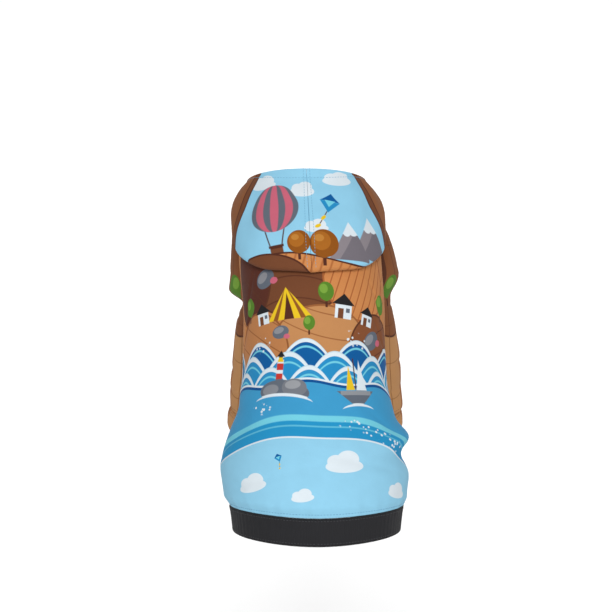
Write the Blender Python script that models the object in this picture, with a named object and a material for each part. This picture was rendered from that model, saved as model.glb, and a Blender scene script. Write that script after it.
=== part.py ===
"""Dog hoodie, in the form that it keeps when it is worn on a sitting dog.

A tube of printed cloth leans back over the spine, cut shorter under the belly. Two sleeves
hang from its chest, a ribbed band closes the hem, and the hood lies down on the upper back.
Up is +Z, the neck opening looks to +Y and up, and +X is the wearer's right side.
The origin is where the cloth sits on the withers, on the inner face of the back panel.
"""
import bisect
import math
from collections import namedtuple

import bmesh
import bpy
from mathutils import Vector

# Sizes of the body, in metres
BACK_LENGTH = 0.384
BELLY_CUT = 0.058
NECK_SCOOP = 0.006
NECK_WIDTH = 0.114
NECK_DEPTH = 0.124
CHEST_WIDTH = 0.158
CHEST_DEPTH = 0.200
WAIST_WIDTH = 0.160
WAIST_DEPTH = 0.172
HIP_WIDTH = 0.202
HIP_DEPTH = 0.188
HEM_WIDTH = 0.190
HEM_DEPTH = 0.168
HEM_BAND_HEIGHT = 0.030
BODY_LEAN_DEG = 60.0
BODY_SWAY = 0.0055
SIDE_SEAM_DEG = 104.0
FOLD_DEPTH = 0.0060
WITHERS_PLACE = 0.045

# Sizes of the sleeves
SLEEVE_LENGTH = 0.262
SLEEVE_TOP_DROP = 0.0190
SHOULDER_OUT = 0.0520
WRIST_OUT = 0.0690
SHOULDER_FORWARD = 0.016
WRIST_FORWARD = 0.062
ARM_WIDTH = 0.074
ARM_DEPTH = 0.090
WRIST_WIDTH = 0.062
WRIST_DEPTH = 0.064
SLEEVE_FOLD_DEPTH = 0.0060
CUFF_HEIGHT = 0.026

# Sizes of the hood
HOOD_DROP = 0.116
HOOD_LOFT = 0.0150
HOOD_RIM_RISE = 0.003

# Cloth and clearances
CLOTH = 0.0022
BAND_CLOTH = 0.0032
CUFF_CLOTH = 0.0030
SEAM_GAP = 0.0003
HOOD_SEAT_GAP = 0.0013

# How round a section is: 2 is an ellipse, more is fuller at the corners
BODY_FULLNESS = 2.15
SLEEVE_FULLNESS = 2.1

# Steps of the meshes
BACK_COLUMNS = 26
BELLY_COLUMNS = 15
BODY_ROWS = 25
BAND_COLUMNS = 48
BAND_ROWS = 3
SLEEVE_COLUMNS = 18
SLEEVE_ROWS = 17
CUFF_ROWS = 3
HOOD_BACK_COLUMNS = 4
HOOD_SHOULDER_COLUMNS = 9
HOOD_THROAT_COLUMNS = 7
HOOD_UNDER_ROWS = 7
HOOD_FOLD_ROWS = 3
HOOD_OUTER_ROWS = 5
NORMAL_STEP = 0.004

# Sections of the body. place is the share of the way from the neckline to the hem seam,
# back_share is the share of the depth that lies on the back's side of the middle line, and
# sway is how far the wearer's weight carries the section to the right.
Section = namedtuple("Section", "place width depth back_share sway")
SECTIONS = (
    Section(-0.12, 0.96 * NECK_WIDTH, 0.96 * NECK_DEPTH, 0.50, -1.0 * BODY_SWAY),
    Section(0.00, NECK_WIDTH, NECK_DEPTH, 0.50, -1.0 * BODY_SWAY),
    Section(0.035, 0.85 * CHEST_WIDTH, 0.65 * CHEST_DEPTH, 0.49, -0.9 * BODY_SWAY),
    Section(0.065, 0.92 * CHEST_WIDTH, 0.69 * CHEST_DEPTH, 0.49, -0.8 * BODY_SWAY),
    Section(0.10, 0.955 * CHEST_WIDTH, 0.74 * CHEST_DEPTH, 0.48, -0.7 * BODY_SWAY),
    Section(0.24, CHEST_WIDTH, CHEST_DEPTH, 0.42, -0.2 * BODY_SWAY),
    Section(0.42, 0.99 * CHEST_WIDTH, 0.94 * CHEST_DEPTH, 0.42, 0.55 * BODY_SWAY),
    Section(0.60, WAIST_WIDTH, WAIST_DEPTH, 0.47, 0.55 * BODY_SWAY),
    Section(0.72, 0.87 * HIP_WIDTH, 0.92 * HIP_DEPTH, 0.49, 0.6 * BODY_SWAY),
    Section(0.83, 0.965 * HIP_WIDTH, 0.98 * HIP_DEPTH, 0.50, 0.3 * BODY_SWAY),
    Section(0.92, HIP_WIDTH, HIP_DEPTH, 0.50, 0.6 * BODY_SWAY),
    Section(0.97, 0.99 * HIP_WIDTH, 0.98 * HIP_DEPTH, 0.50, 0.8 * BODY_SWAY),
    Section(1.00, HEM_WIDTH, HEM_DEPTH, 0.50, 1.0 * BODY_SWAY),
    Section(1.10, 0.95 * HEM_WIDTH, 0.95 * HEM_DEPTH, 0.50, 1.0 * BODY_SWAY),
)

# Folds of the body. angle runs round from the spine to the wearer's right, across and along
# are how far the fold spreads, in degrees and in shares of the way down, slant is how far it
# climbs for each degree, and depth is a share of FOLD_DEPTH, below zero for a ridge.
Fold = namedtuple("Fold", "angle place across along slant depth")
BODY_FOLDS = (
    Fold(92.0, 0.845, 32.0, 0.026, 0.0004, 0.40),
    Fold(88.0, 0.785, 36.0, 0.034, -0.0004, -1.80),
    Fold(90.0, 0.905, 34.0, 0.036, 0.0004, -0.45),
    Fold(-88.0, 0.700, 30.0, 0.040, 0.0009, 0.45),
    Fold(-96.0, 0.880, 34.0, 0.045, -0.0006, -0.40),
    Fold(58.0, 0.560, 22.0, 0.045, 0.0020, 0.35),
    Fold(-62.0, 0.520, 22.0, 0.045, -0.0022, 0.35),
    Fold(150.0, 0.560, 40.0, 0.042, 0.0010, 0.90),
    Fold(-155.0, 0.680, 40.0, 0.042, -0.0010, 0.80),
    Fold(175.0, 0.840, 46.0, 0.042, 0.0006, 0.80),
)

# Rings of a sleeve, top to wrist: drop is a share of SLEEVE_LENGTH, out and forward are shares
# of the way from the shoulder to the wrist, sway goes with the body's, and tilt is how far the
# ring's front dips, in degrees.
Ring = namedtuple("Ring", "drop out forward width depth sway tilt")
SLEEVE_RINGS = (
    Ring(0.000, -0.55, -0.04, 0.16 * ARM_WIDTH, 0.12 * ARM_DEPTH, -0.8 * BODY_SWAY, 30.0),
    Ring(0.015, -0.34, -0.04, 0.62 * ARM_WIDTH, 0.50 * ARM_DEPTH, -0.8 * BODY_SWAY, 30.0),
    Ring(0.045, -0.26, -0.04, 0.82 * ARM_WIDTH, 0.74 * ARM_DEPTH, -0.8 * BODY_SWAY, 30.0),
    Ring(0.095, -0.22, -0.03, 0.92 * ARM_WIDTH, 0.90 * ARM_DEPTH, -0.7 * BODY_SWAY, 29.0),
    Ring(0.160, -0.10, -0.01, ARM_WIDTH, ARM_DEPTH, -0.4 * BODY_SWAY, 27.0),
    Ring(0.250, 0.08, 0.03, ARM_WIDTH, ARM_DEPTH, -0.1 * BODY_SWAY, 23.0),
    Ring(0.340, 0.24, 0.11, ARM_WIDTH, 0.96 * ARM_DEPTH, 0.2 * BODY_SWAY, 18.0),
    Ring(0.410, 0.25, 0.20, 0.96 * ARM_WIDTH, 0.88 * ARM_DEPTH, 0.3 * BODY_SWAY, 14.0),
    Ring(0.470, 0.18, 0.28, 1.01 * WRIST_WIDTH, 1.15 * WRIST_DEPTH, 0.9 * BODY_SWAY, 9.0),
    Ring(0.580, 0.32, 0.42, 1.04 * WRIST_WIDTH, 1.10 * WRIST_DEPTH, 0.9 * BODY_SWAY, 4.0),
    Ring(0.790, 0.64, 0.72, 1.03 * WRIST_WIDTH, 1.04 * WRIST_DEPTH, 0.9 * BODY_SWAY, -3.0),
    Ring(0.910, 0.88, 0.90, WRIST_WIDTH, WRIST_DEPTH, 0.8 * BODY_SWAY, -6.0),
    Ring(1.000, 1.00, 1.00, 0.93 * WRIST_WIDTH, 0.93 * WRIST_DEPTH, 0.8 * BODY_SWAY, -6.0),
)

# Folds across each sleeve. angle runs round from straight out to straight forward.
Crease = namedtuple("Crease", "side drop angle across along depth")
SLEEVE_CREASES = (
    Crease("right", 0.430, -30.0, 75.0, 0.035, 0.55),
    Crease("right", 0.340, -30.0, 80.0, 0.055, -0.45),
    Crease("right", 0.640, 120.0, 80.0, 0.045, 0.60),
    Crease("left", 0.475, -20.0, 80.0, 0.040, 0.95),
    Crease("left", 0.415, -20.0, 80.0, 0.040, -0.35),
    Crease("left", 0.700, 120.0, 80.0, 0.045, 0.60),
    Crease("right", 0.520, 160.0, 80.0, 0.035, 0.80),
    Crease("left", 0.560, 160.0, 80.0, 0.035, 0.80),
)

# Outline of a cuff from its seam down: drop is a share of CUFF_HEIGHT
CuffRing = namedtuple("CuffRing", "drop width depth")
CUFF_RINGS = (
    CuffRing(0.00, 0.95 * WRIST_WIDTH, 0.95 * WRIST_DEPTH),
    CuffRing(0.35, 1.05 * WRIST_WIDTH, 1.05 * WRIST_DEPTH),
    CuffRing(0.70, 1.06 * WRIST_WIDTH, 1.06 * WRIST_DEPTH),
    CuffRing(1.00, 0.98 * WRIST_WIDTH, 0.98 * WRIST_DEPTH),
)

# How far the hood hangs at each angle from the spine, and how full it is there
HoodReach = namedtuple("HoodReach", "angle drop loft")
HOOD_REACHES = (
    HoodReach(0.0, 1.00 * HOOD_DROP, 1.00 * HOOD_LOFT),
    HoodReach(30.0, 0.95 * HOOD_DROP, 1.00 * HOOD_LOFT),
    HoodReach(55.0, 0.78 * HOOD_DROP, 0.88 * HOOD_LOFT),
    HoodReach(72.0, 0.50 * HOOD_DROP, 0.55 * HOOD_LOFT),
    HoodReach(82.0, 0.24 * HOOD_DROP, 0.44 * HOOD_LOFT),
    HoodReach(90.0, 0.105 * HOOD_DROP, 0.38 * HOOD_LOFT),
    HoodReach(110.0, 0.095 * HOOD_DROP, 0.38 * HOOD_LOFT),
    HoodReach(180.0, 0.120 * HOOD_DROP, 0.40 * HOOD_LOFT),
)

# Fullness of the hood's outer layer from its fold up to its rim, as a share of the loft
HoodSwell = namedtuple("HoodSwell", "climb loft")
HOOD_SWELLS = (
    HoodSwell(0.00, 0.84),
    HoodSwell(0.30, 1.00),
    HoodSwell(0.65, 0.94),
    HoodSwell(1.00, 0.84),
)

# Where the hood's columns are closer together, over the shoulders, in degrees from the spine
HOOD_SHOULDER_DEG = (54.0, 104.0)

Finish = namedtuple("Finish", "name colour roughness")
BODY_FINISH = Finish("printed_body_cloth", (0.33, 0.48, 0.58, 1.0), 0.85)
SLEEVE_FINISH = Finish("printed_sleeve_cloth", (0.36, 0.19, 0.10, 1.0), 0.85)
HOOD_FINISH = Finish("printed_hood_cloth", (0.33, 0.65, 0.86, 1.0), 0.85)
RIB_FINISH = Finish("charcoal_rib", (0.03, 0.03, 0.03, 1.0), 0.90)

LEAN = math.radians(BODY_LEAN_DEG)
SPINE = Vector((0.0, math.cos(LEAN), math.sin(LEAN)))
BACKWARD = Vector((0.0, -math.sin(LEAN), math.cos(LEAN)))
RIGHT = Vector((1.0, 0.0, 0.0))


def clear_scene():
    """Remove every object that is in the scene."""
    for thing in list(bpy.data.objects):
        bpy.data.objects.remove(thing, do_unlink=True)


def smooth_value(rows, key, column, at):
    """Read a column of a table at any place, along a curve that never overshoots its rows."""
    xs = [getattr(row, key) for row in rows]
    ys = [getattr(row, column) for row in rows]
    if at <= xs[0]:
        return ys[0]
    if at >= xs[-1]:
        return ys[-1]
    slopes = [(ys[i + 1] - ys[i]) / (xs[i + 1] - xs[i]) for i in range(len(xs) - 1)]
    bends = [slopes[0]]
    for before, after in zip(slopes, slopes[1:]):
        bends.append(0.0 if before * after <= 0.0 else 2.0 * before * after / (before + after))
    bends.append(slopes[-1])
    i = bisect.bisect_right(xs, at) - 1
    span = xs[i + 1] - xs[i]
    t = (at - xs[i]) / span
    return (
        ys[i] * (1.0 + 2.0 * t) * (1.0 - t) ** 2
        + ys[i + 1] * t * t * (3.0 - 2.0 * t)
        + span * bends[i] * t * (1.0 - t) ** 2
        - span * bends[i + 1] * t * t * (1.0 - t)
    )


def round_reach(across, along, angle, fullness):
    """Distance from the middle of a full ellipse to its edge, at an angle from its along axis."""
    across_part = abs(math.sin(angle) / across) ** fullness
    along_part = abs(math.cos(angle) / along) ** fullness
    return (across_part + along_part) ** (-1.0 / fullness)


def turn_between(angle, middle):
    """Signed degrees from middle to angle, the short way round."""
    return (angle - middle + 180.0) % 360.0 - 180.0


def fold_depth(angle_deg, place):
    """How far the folds of the body sink the cloth at a place."""
    depth = 0.0
    for fold in BODY_FOLDS:
        turn = turn_between(angle_deg, fold.angle)
        side = turn / fold.across
        rise = (place - fold.place - fold.slant * turn) / fold.along
        depth += fold.depth * math.exp(-side * side - rise * rise)
    return depth * FOLD_DEPTH


def distance_down(angle, place):
    """Distance from the neck plane down the spine to a place, which the belly's cut shortens."""
    under = 0.5 * (1.0 - math.cos(angle))
    top = NECK_SCOOP * under
    bottom = BACK_LENGTH - BELLY_CUT * under
    return top + place * (bottom - top)


def place_at(angle, down):
    """The place, as a share of the way to the hem seam, of a distance down the spine."""
    under = 0.5 * (1.0 - math.cos(angle))
    top = NECK_SCOOP * under
    return (down - top) / (BACK_LENGTH - BELLY_CUT * under - top)


def body_sheet(angle, place):
    """Point of the body's outer face, measured from the middle of the neck plane."""
    width = smooth_value(SECTIONS, "place", "width", place)
    depth = smooth_value(SECTIONS, "place", "depth", place)
    back_share = smooth_value(SECTIONS, "place", "back_share", place)
    share = back_share if math.cos(angle) > 0.0 else 1.0 - back_share
    reach = round_reach(0.5 * width, share * depth, angle, BODY_FULLNESS)
    reach -= fold_depth(math.degrees(angle), place)
    sway = smooth_value(SECTIONS, "place", "sway", place)
    around = RIGHT * (sway + reach * math.sin(angle)) + BACKWARD * (reach * math.cos(angle))
    return around - SPINE * distance_down(angle, place)


def body_point(angle, place, lift=0.0):
    """Point that stands off the body's outer face by lift, along the face's own normal."""
    ahead = body_sheet(angle + NORMAL_STEP, place) - body_sheet(angle - NORMAL_STEP, place)
    below = body_sheet(angle, place + NORMAL_STEP) - body_sheet(angle, place - NORMAL_STEP)
    outward = below.cross(ahead).normalized()
    return body_sheet(angle, place) + outward * lift


WITHERS = body_point(0.0, place_at(0.0, WITHERS_PLACE), -CLOTH)


def sleeve_middle(side, drop):
    """Middle of a sleeve's ring at a share of its length."""
    out = smooth_value(SLEEVE_RINGS, "drop", "out", drop)
    forward = smooth_value(SLEEVE_RINGS, "drop", "forward", drop)
    sway = smooth_value(SLEEVE_RINGS, "drop", "sway", drop)
    sideways = SHOULDER_OUT + out * (WRIST_OUT - SHOULDER_OUT)
    ahead = SHOULDER_FORWARD + forward * (WRIST_FORWARD - SHOULDER_FORWARD)
    height = -SLEEVE_TOP_DROP - drop * SLEEVE_LENGTH
    return Vector((sway + side * sideways, ahead, height))


def around_sleeve(side, angle, reach, drop):
    """Way from the middle of a sleeve's ring to its edge, in the ring's own tilted plane."""
    tilt = math.radians(smooth_value(SLEEVE_RINGS, "drop", "tilt", drop))
    ahead = reach * math.sin(angle)
    return Vector((side * reach * math.cos(angle), ahead * math.cos(tilt), -ahead * math.sin(tilt)))


def sleeve_point(side, angle, drop, lift=0.0):
    """Point of a sleeve's outer face. The angle runs from straight out to straight forward."""
    half_width = 0.5 * smooth_value(SLEEVE_RINGS, "drop", "width", drop)
    half_depth = 0.5 * smooth_value(SLEEVE_RINGS, "drop", "depth", drop)
    reach = round_reach(half_depth, half_width, angle, SLEEVE_FULLNESS)
    for crease in SLEEVE_CREASES:
        if crease.side == ("right" if side > 0 else "left"):
            turn = turn_between(math.degrees(angle), crease.angle) / crease.across
            rise = (drop - crease.drop) / crease.along
            reach -= crease.depth * SLEEVE_FOLD_DEPTH * math.exp(-turn * turn - rise * rise)
    reach += lift
    return sleeve_middle(side, drop) + around_sleeve(side, angle, reach, drop)


def cuff_point(side, angle, drop, lift=0.0):
    """Point of a cuff's outer face, below the sleeve's end."""
    half_width = 0.5 * smooth_value(CUFF_RINGS, "drop", "width", drop)
    half_depth = 0.5 * smooth_value(CUFF_RINGS, "drop", "depth", drop)
    reach = round_reach(half_depth, half_width, angle, SLEEVE_FULLNESS) + lift
    middle = sleeve_middle(side, 1.0) - Vector((0.0, 0.0, SEAM_GAP + drop * CUFF_HEIGHT))
    return middle + around_sleeve(side, angle, reach, 1.0)


def hood_profile(angle_deg):
    """Middle line of the hood's cloth at one angle: distance down and lift, seam to rim."""
    drop = smooth_value(HOOD_REACHES, "angle", "drop", angle_deg)
    loft = smooth_value(HOOD_REACHES, "angle", "loft", angle_deg)
    seat = HOOD_SEAT_GAP + 0.5 * CLOTH
    fold_radius = 0.5 * (HOOD_SWELLS[0].loft * loft - CLOTH)
    fold_down = drop - fold_radius - 0.5 * CLOTH
    line = []
    for step in range(HOOD_UNDER_ROWS):
        share = step / HOOD_UNDER_ROWS
        line.append((SEAM_GAP + share * (fold_down - SEAM_GAP), seat))
    for step in range(HOOD_FOLD_ROWS + 1):
        turn = math.pi * step / HOOD_FOLD_ROWS
        down = fold_down + fold_radius * math.sin(turn)
        line.append((down, seat + fold_radius * (1.0 - math.cos(turn))))
    for step in range(1, HOOD_OUTER_ROWS + 1):
        climb = step / HOOD_OUTER_ROWS
        lift = smooth_value(HOOD_SWELLS, "climb", "loft", climb) * loft - CLOTH
        line.append((fold_down - climb * (fold_down + HOOD_RIM_RISE), seat + lift))
    return line


def offset_line(line, distance):
    """The same line moved to its right by a distance, square to itself."""
    moved = []
    last = len(line) - 1
    for i, (down, lift) in enumerate(line):
        before = line[max(i - 1, 0)]
        after = line[min(i + 1, last)]
        run = Vector((after[0] - before[0], after[1] - before[1])).normalized()
        moved.append((down + distance * run.y, lift - distance * run.x))
    return moved


def seated(point):
    """A point measured from the neck plane, moved so that the withers are the origin."""
    return point - WITHERS


def make_material(finish):
    """The plain finish of one kind of cloth."""
    material = bpy.data.materials.get(finish.name) or bpy.data.materials.new(finish.name)
    material.use_nodes = True
    shader = material.node_tree.nodes["Principled BSDF"]
    shader.inputs["Base Color"].default_value = finish.colour
    shader.inputs["Roughness"].default_value = finish.roughness
    shader.inputs["Metallic"].default_value = 0.0
    return material


def make_object(name, mesh_data, finish):
    """Put a bmesh into a named object, in flat triangles that are turned outwards."""
    bmesh.ops.triangulate(mesh_data, faces=mesh_data.faces)
    bmesh.ops.recalc_face_normals(mesh_data, faces=mesh_data.faces)
    mesh = bpy.data.meshes.new(name)
    mesh_data.to_mesh(mesh)
    mesh_data.free()
    mesh.shade_smooth()
    thing = bpy.data.objects.new(name, mesh)
    bpy.context.collection.objects.link(thing)
    thing.data.materials.append(make_material(finish))
    return thing


def add_grid(mesh_data, rows, closed):
    """Add the points of a grid and the quads between them, and return its vertices."""
    grid = [[mesh_data.verts.new(seated(point)) for point in row] for row in rows]
    for upper, lower in zip(grid, grid[1:]):
        for i in range(len(upper) if closed else len(upper) - 1):
            j = (i + 1) % len(upper)
            mesh_data.faces.new((upper[i], upper[j], lower[j], lower[i]))
    return grid


def edge_loop(grid, closed):
    """The border of an open grid as one list, or the two end rings of a closed one."""
    if closed:
        return [grid[0], grid[-1]]
    right = [row[-1] for row in grid[1:]]
    bottom = list(reversed(grid[-1][:-1]))
    left = [row[0] for row in reversed(grid[1:-1])]
    return [grid[0] + right + bottom + left]


def make_wall(name, outer_rows, inner_rows, closed, finish):
    """Make a wall of cloth from its outer and its inner face, closed along every edge."""
    mesh_data = bmesh.new()
    outer = add_grid(mesh_data, outer_rows, closed)
    inner = add_grid(mesh_data, inner_rows, closed)
    for outer_edge, inner_edge in zip(edge_loop(outer, closed), edge_loop(inner, closed)):
        for i in range(len(outer_edge)):
            j = (i + 1) % len(outer_edge)
            mesh_data.faces.new((outer_edge[i], outer_edge[j], inner_edge[j], inner_edge[i]))
    return make_object(name, mesh_data, finish)


def make_core(name, rows, finish):
    """Make a solid from closed rings, with a cap on each end, and keep it out of the model."""
    mesh_data = bmesh.new()
    grid = add_grid(mesh_data, rows, True)
    mesh_data.faces.new(grid[0])
    mesh_data.faces.new(grid[-1])
    core = make_object(name, mesh_data, finish)
    core.hide_render = True
    core.display_type = "WIRE"
    return core


def cut_away(thing, core):
    """Cut a core out of a piece."""
    cut = thing.modifiers.new("cut_" + core.name, "BOOLEAN")
    cut.operation = "DIFFERENCE"
    cut.solver = "EXACT"
    cut.object = core


def steps(count, first=0.0, last=1.0):
    """Evenly spaced values from first to last, both of them included."""
    return [first + (last - first) * i / count for i in range(count + 1)]


def turns(count):
    """Evenly spaced angles round a whole turn."""
    return [2.0 * math.pi * i / count for i in range(count)]


def make_body():
    """The back and belly panels, which meet at the side seams."""
    panels = []
    seam = math.radians(SIDE_SEAM_DEG)
    half_gap = SEAM_GAP / CHEST_WIDTH
    spans = {
        "back_panel": (half_gap - seam, seam - half_gap, BACK_COLUMNS),
        "belly_panel": (seam + half_gap, 2.0 * math.pi - seam - half_gap, BELLY_COLUMNS),
    }
    for name, (first, last, columns) in spans.items():
        angles = steps(columns, first, last)
        outer = [[body_point(a, place) for a in angles] for place in steps(BODY_ROWS)]
        inner = [[body_point(a, place, -CLOTH) for a in angles] for place in steps(BODY_ROWS)]
        panels.append(make_wall(name, outer, inner, False, BODY_FINISH))
    return panels


def make_hem_band():
    """The ribbed band below the hem seam."""
    angles = turns(BAND_COLUMNS)

    def rows(lift):
        band = []
        for share in steps(BAND_ROWS):
            ring = []
            for angle in angles:
                down = distance_down(angle, 1.0) + SEAM_GAP + share * HEM_BAND_HEIGHT
                ring.append(body_point(angle, place_at(angle, down), lift))
            band.append(ring)
        return band

    proud = 0.5 * (BAND_CLOTH - CLOTH)
    make_wall("hem_band", rows(proud), rows(proud - BAND_CLOTH), True, RIB_FINISH)


def make_sleeves(panels):
    """Both sleeves with their cuffs, and the armholes that they are set into."""
    angles = turns(SLEEVE_COLUMNS)
    body_angles = turns(BACK_COLUMNS + BELLY_COLUMNS)
    hollow_rows = [[body_point(a, place, -CLOTH) for a in body_angles] for place in steps(BODY_ROWS)]
    hollow = make_core("body_hollow", hollow_rows, BODY_FINISH)
    drops = steps(SLEEVE_ROWS)
    for name, side in (("left", -1.0), ("right", 1.0)):
        outer = [[sleeve_point(side, a, drop) for a in angles] for drop in drops]
        inner = [[sleeve_point(side, a, drop, -CLOTH) for a in angles] for drop in drops]
        sleeve = make_wall("sleeve_" + name, outer, inner, True, SLEEVE_FINISH)
        cut_away(sleeve, hollow)
        grown = [[sleeve_point(side, a, drop, SEAM_GAP) for a in angles] for drop in drops]
        armhole = make_core("armhole_" + name, grown, BODY_FINISH)
        for panel in panels:
            cut_away(panel, armhole)
        cuff_outer = [[cuff_point(side, a, drop) for a in angles] for drop in steps(CUFF_ROWS)]
        cuff_inner = [
            [cuff_point(side, a, drop, -CUFF_CLOTH) for a in angles] for drop in steps(CUFF_ROWS)
        ]
        make_wall("cuff_" + name, cuff_outer, cuff_inner, True, SLEEVE_FINISH)


def make_hood():
    """The two halves of the hood, which meet at the centre seam and at the throat."""
    half_gap_deg = math.degrees(SEAM_GAP / NECK_WIDTH)
    shoulder_start, shoulder_end = HOOD_SHOULDER_DEG
    columns = steps(HOOD_BACK_COLUMNS, half_gap_deg, shoulder_start)
    columns += steps(HOOD_SHOULDER_COLUMNS, shoulder_start, shoulder_end)[1:]
    columns += steps(HOOD_THROAT_COLUMNS, shoulder_end, 180.0 - half_gap_deg)[1:]
    for name, side in (("left", -1.0), ("right", 1.0)):
        faces = {"outer": [], "inner": []}
        for angle_deg in columns:
            angle = side * math.radians(angle_deg)
            line = hood_profile(angle_deg)
            for face, distance in (("outer", 0.5 * CLOTH), ("inner", -0.5 * CLOTH)):
                column = []
                for down, lift in offset_line(line, distance):
                    column.append(body_point(angle, place_at(angle, down), lift))
                faces[face].append(column)
        make_wall("hood_" + name, faces["outer"], faces["inner"], False, HOOD_FINISH)


def main():
    """Build the hoodie, piece by piece."""
    clear_scene()
    panels = make_body()
    make_hem_band()
    make_sleeves(panels)
    make_hood()


if __name__ == "__main__":
    main()
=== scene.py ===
"""Looks of the dog hoodie: printed jersey, ribbed hem band, hood laid down on the back.

Each piece of cloth is made again from the sizes of the solids, with rounded edges, finer folds
and flat coordinates in metres that its print and its knit follow.
"""
import logging
import math
from dataclasses import dataclass, field
from enum import Enum
from typing import Callable, Sequence

import bpy
import numpy as np
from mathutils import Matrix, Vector


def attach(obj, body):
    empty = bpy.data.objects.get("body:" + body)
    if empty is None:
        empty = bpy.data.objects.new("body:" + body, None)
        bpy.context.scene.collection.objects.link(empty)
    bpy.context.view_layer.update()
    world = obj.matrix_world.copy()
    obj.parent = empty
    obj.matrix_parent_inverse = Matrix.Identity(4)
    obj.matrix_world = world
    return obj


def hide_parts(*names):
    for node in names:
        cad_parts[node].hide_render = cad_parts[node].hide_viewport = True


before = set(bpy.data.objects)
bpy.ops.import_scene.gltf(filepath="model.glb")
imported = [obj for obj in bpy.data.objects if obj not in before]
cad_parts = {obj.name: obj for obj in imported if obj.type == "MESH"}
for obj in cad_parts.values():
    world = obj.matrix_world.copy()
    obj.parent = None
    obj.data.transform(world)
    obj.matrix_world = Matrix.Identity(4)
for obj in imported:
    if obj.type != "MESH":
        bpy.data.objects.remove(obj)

LOG = logging.getLogger("dog_hoodie")
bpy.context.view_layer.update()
Colour = tuple[float, float, float]
Point = tuple[float, float, float]
Grid = np.ndarray


class Side(Enum):
    """The wearer's sides, as the sign of X."""

    LEFT = -1.0
    RIGHT = 1.0


class Slot(Enum):
    """Material slots of the record."""

    BODY = "body_cloth"
    SLEEVE = "sleeve_cloth"
    HOOD = "hood_cloth"
    RIB = "rib_knit"


# Colours and node trees

def srgb(red: int, green: int, blue: int) -> Colour:
    """Turn a colour of 0 to 255 into the linear values that nodes use.

    Args:
        red: Red.
        green: Green.
        blue: Blue.

    Returns:
        The linear colour.
    """
    values = []
    for channel in (red, green, blue):
        share = channel / 255.0
        values.append(share / 12.92 if share <= 0.04045 else ((share + 0.055) / 1.055) ** 2.4)
    return values[0], values[1], values[2]


def in_scene(name: str, data: bpy.types.ID) -> bpy.types.Object:
    """Put a mesh, a light or a camera into the scene as an object at the origin.

    Args:
        name: The object's name.
        data: What it shows.

    Returns:
        The object.
    """
    thing = bpy.data.objects.new(name, data)
    bpy.context.scene.collection.objects.link(thing)
    return thing


def new_material(name: str) -> tuple[bpy.types.Material, bpy.types.NodeTree, bpy.types.Node]:
    """Make a material, and give its node tree and its shader with it.

    Args:
        name: Its name.

    Returns:
        The material, its node tree and its shader.
    """
    material = bpy.data.materials.new(name)
    material.use_nodes = True
    return material, material.node_tree, material.node_tree.nodes["Principled BSDF"]


def set_inputs(node: bpy.types.Node, values: dict[str, float]) -> None:
    """Set a node's inputs by name."""
    for name, value in values.items():
        node.inputs[name].default_value = value


def new_group(name: str, inputs: dict[str, str],
              outputs: dict[str, str]) -> tuple[bpy.types.NodeTree, bpy.types.Node, bpy.types.Node]:
    """Make a node group.

    Args:
        name: Its name.
        inputs: Kinds of its inputs, by their names.
        outputs: Kinds of its outputs, by their names.

    Returns:
        The group, with the nodes at its start and its end.
    """
    tree = bpy.data.node_groups.new(name, "ShaderNodeTree")
    for way, sockets in (("INPUT", inputs), ("OUTPUT", outputs)):
        for label, kind in sockets.items():
            tree.interface.new_socket(label, in_out=way, socket_type="NodeSocket" + kind)
    return tree, tree.nodes.new("NodeGroupInput"), tree.nodes.new("NodeGroupOutput")


def flat_place(tree: bpy.types.NodeTree) -> bpy.types.NodeSocket:
    """The cloth's flat coordinates, in metres.

    Args:
        tree: The material's tree.

    Returns:
        The socket that gives them.
    """
    flat = tree.nodes.new("ShaderNodeUVMap")
    flat.uv_map = "flat"
    return flat.outputs[0]


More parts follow.
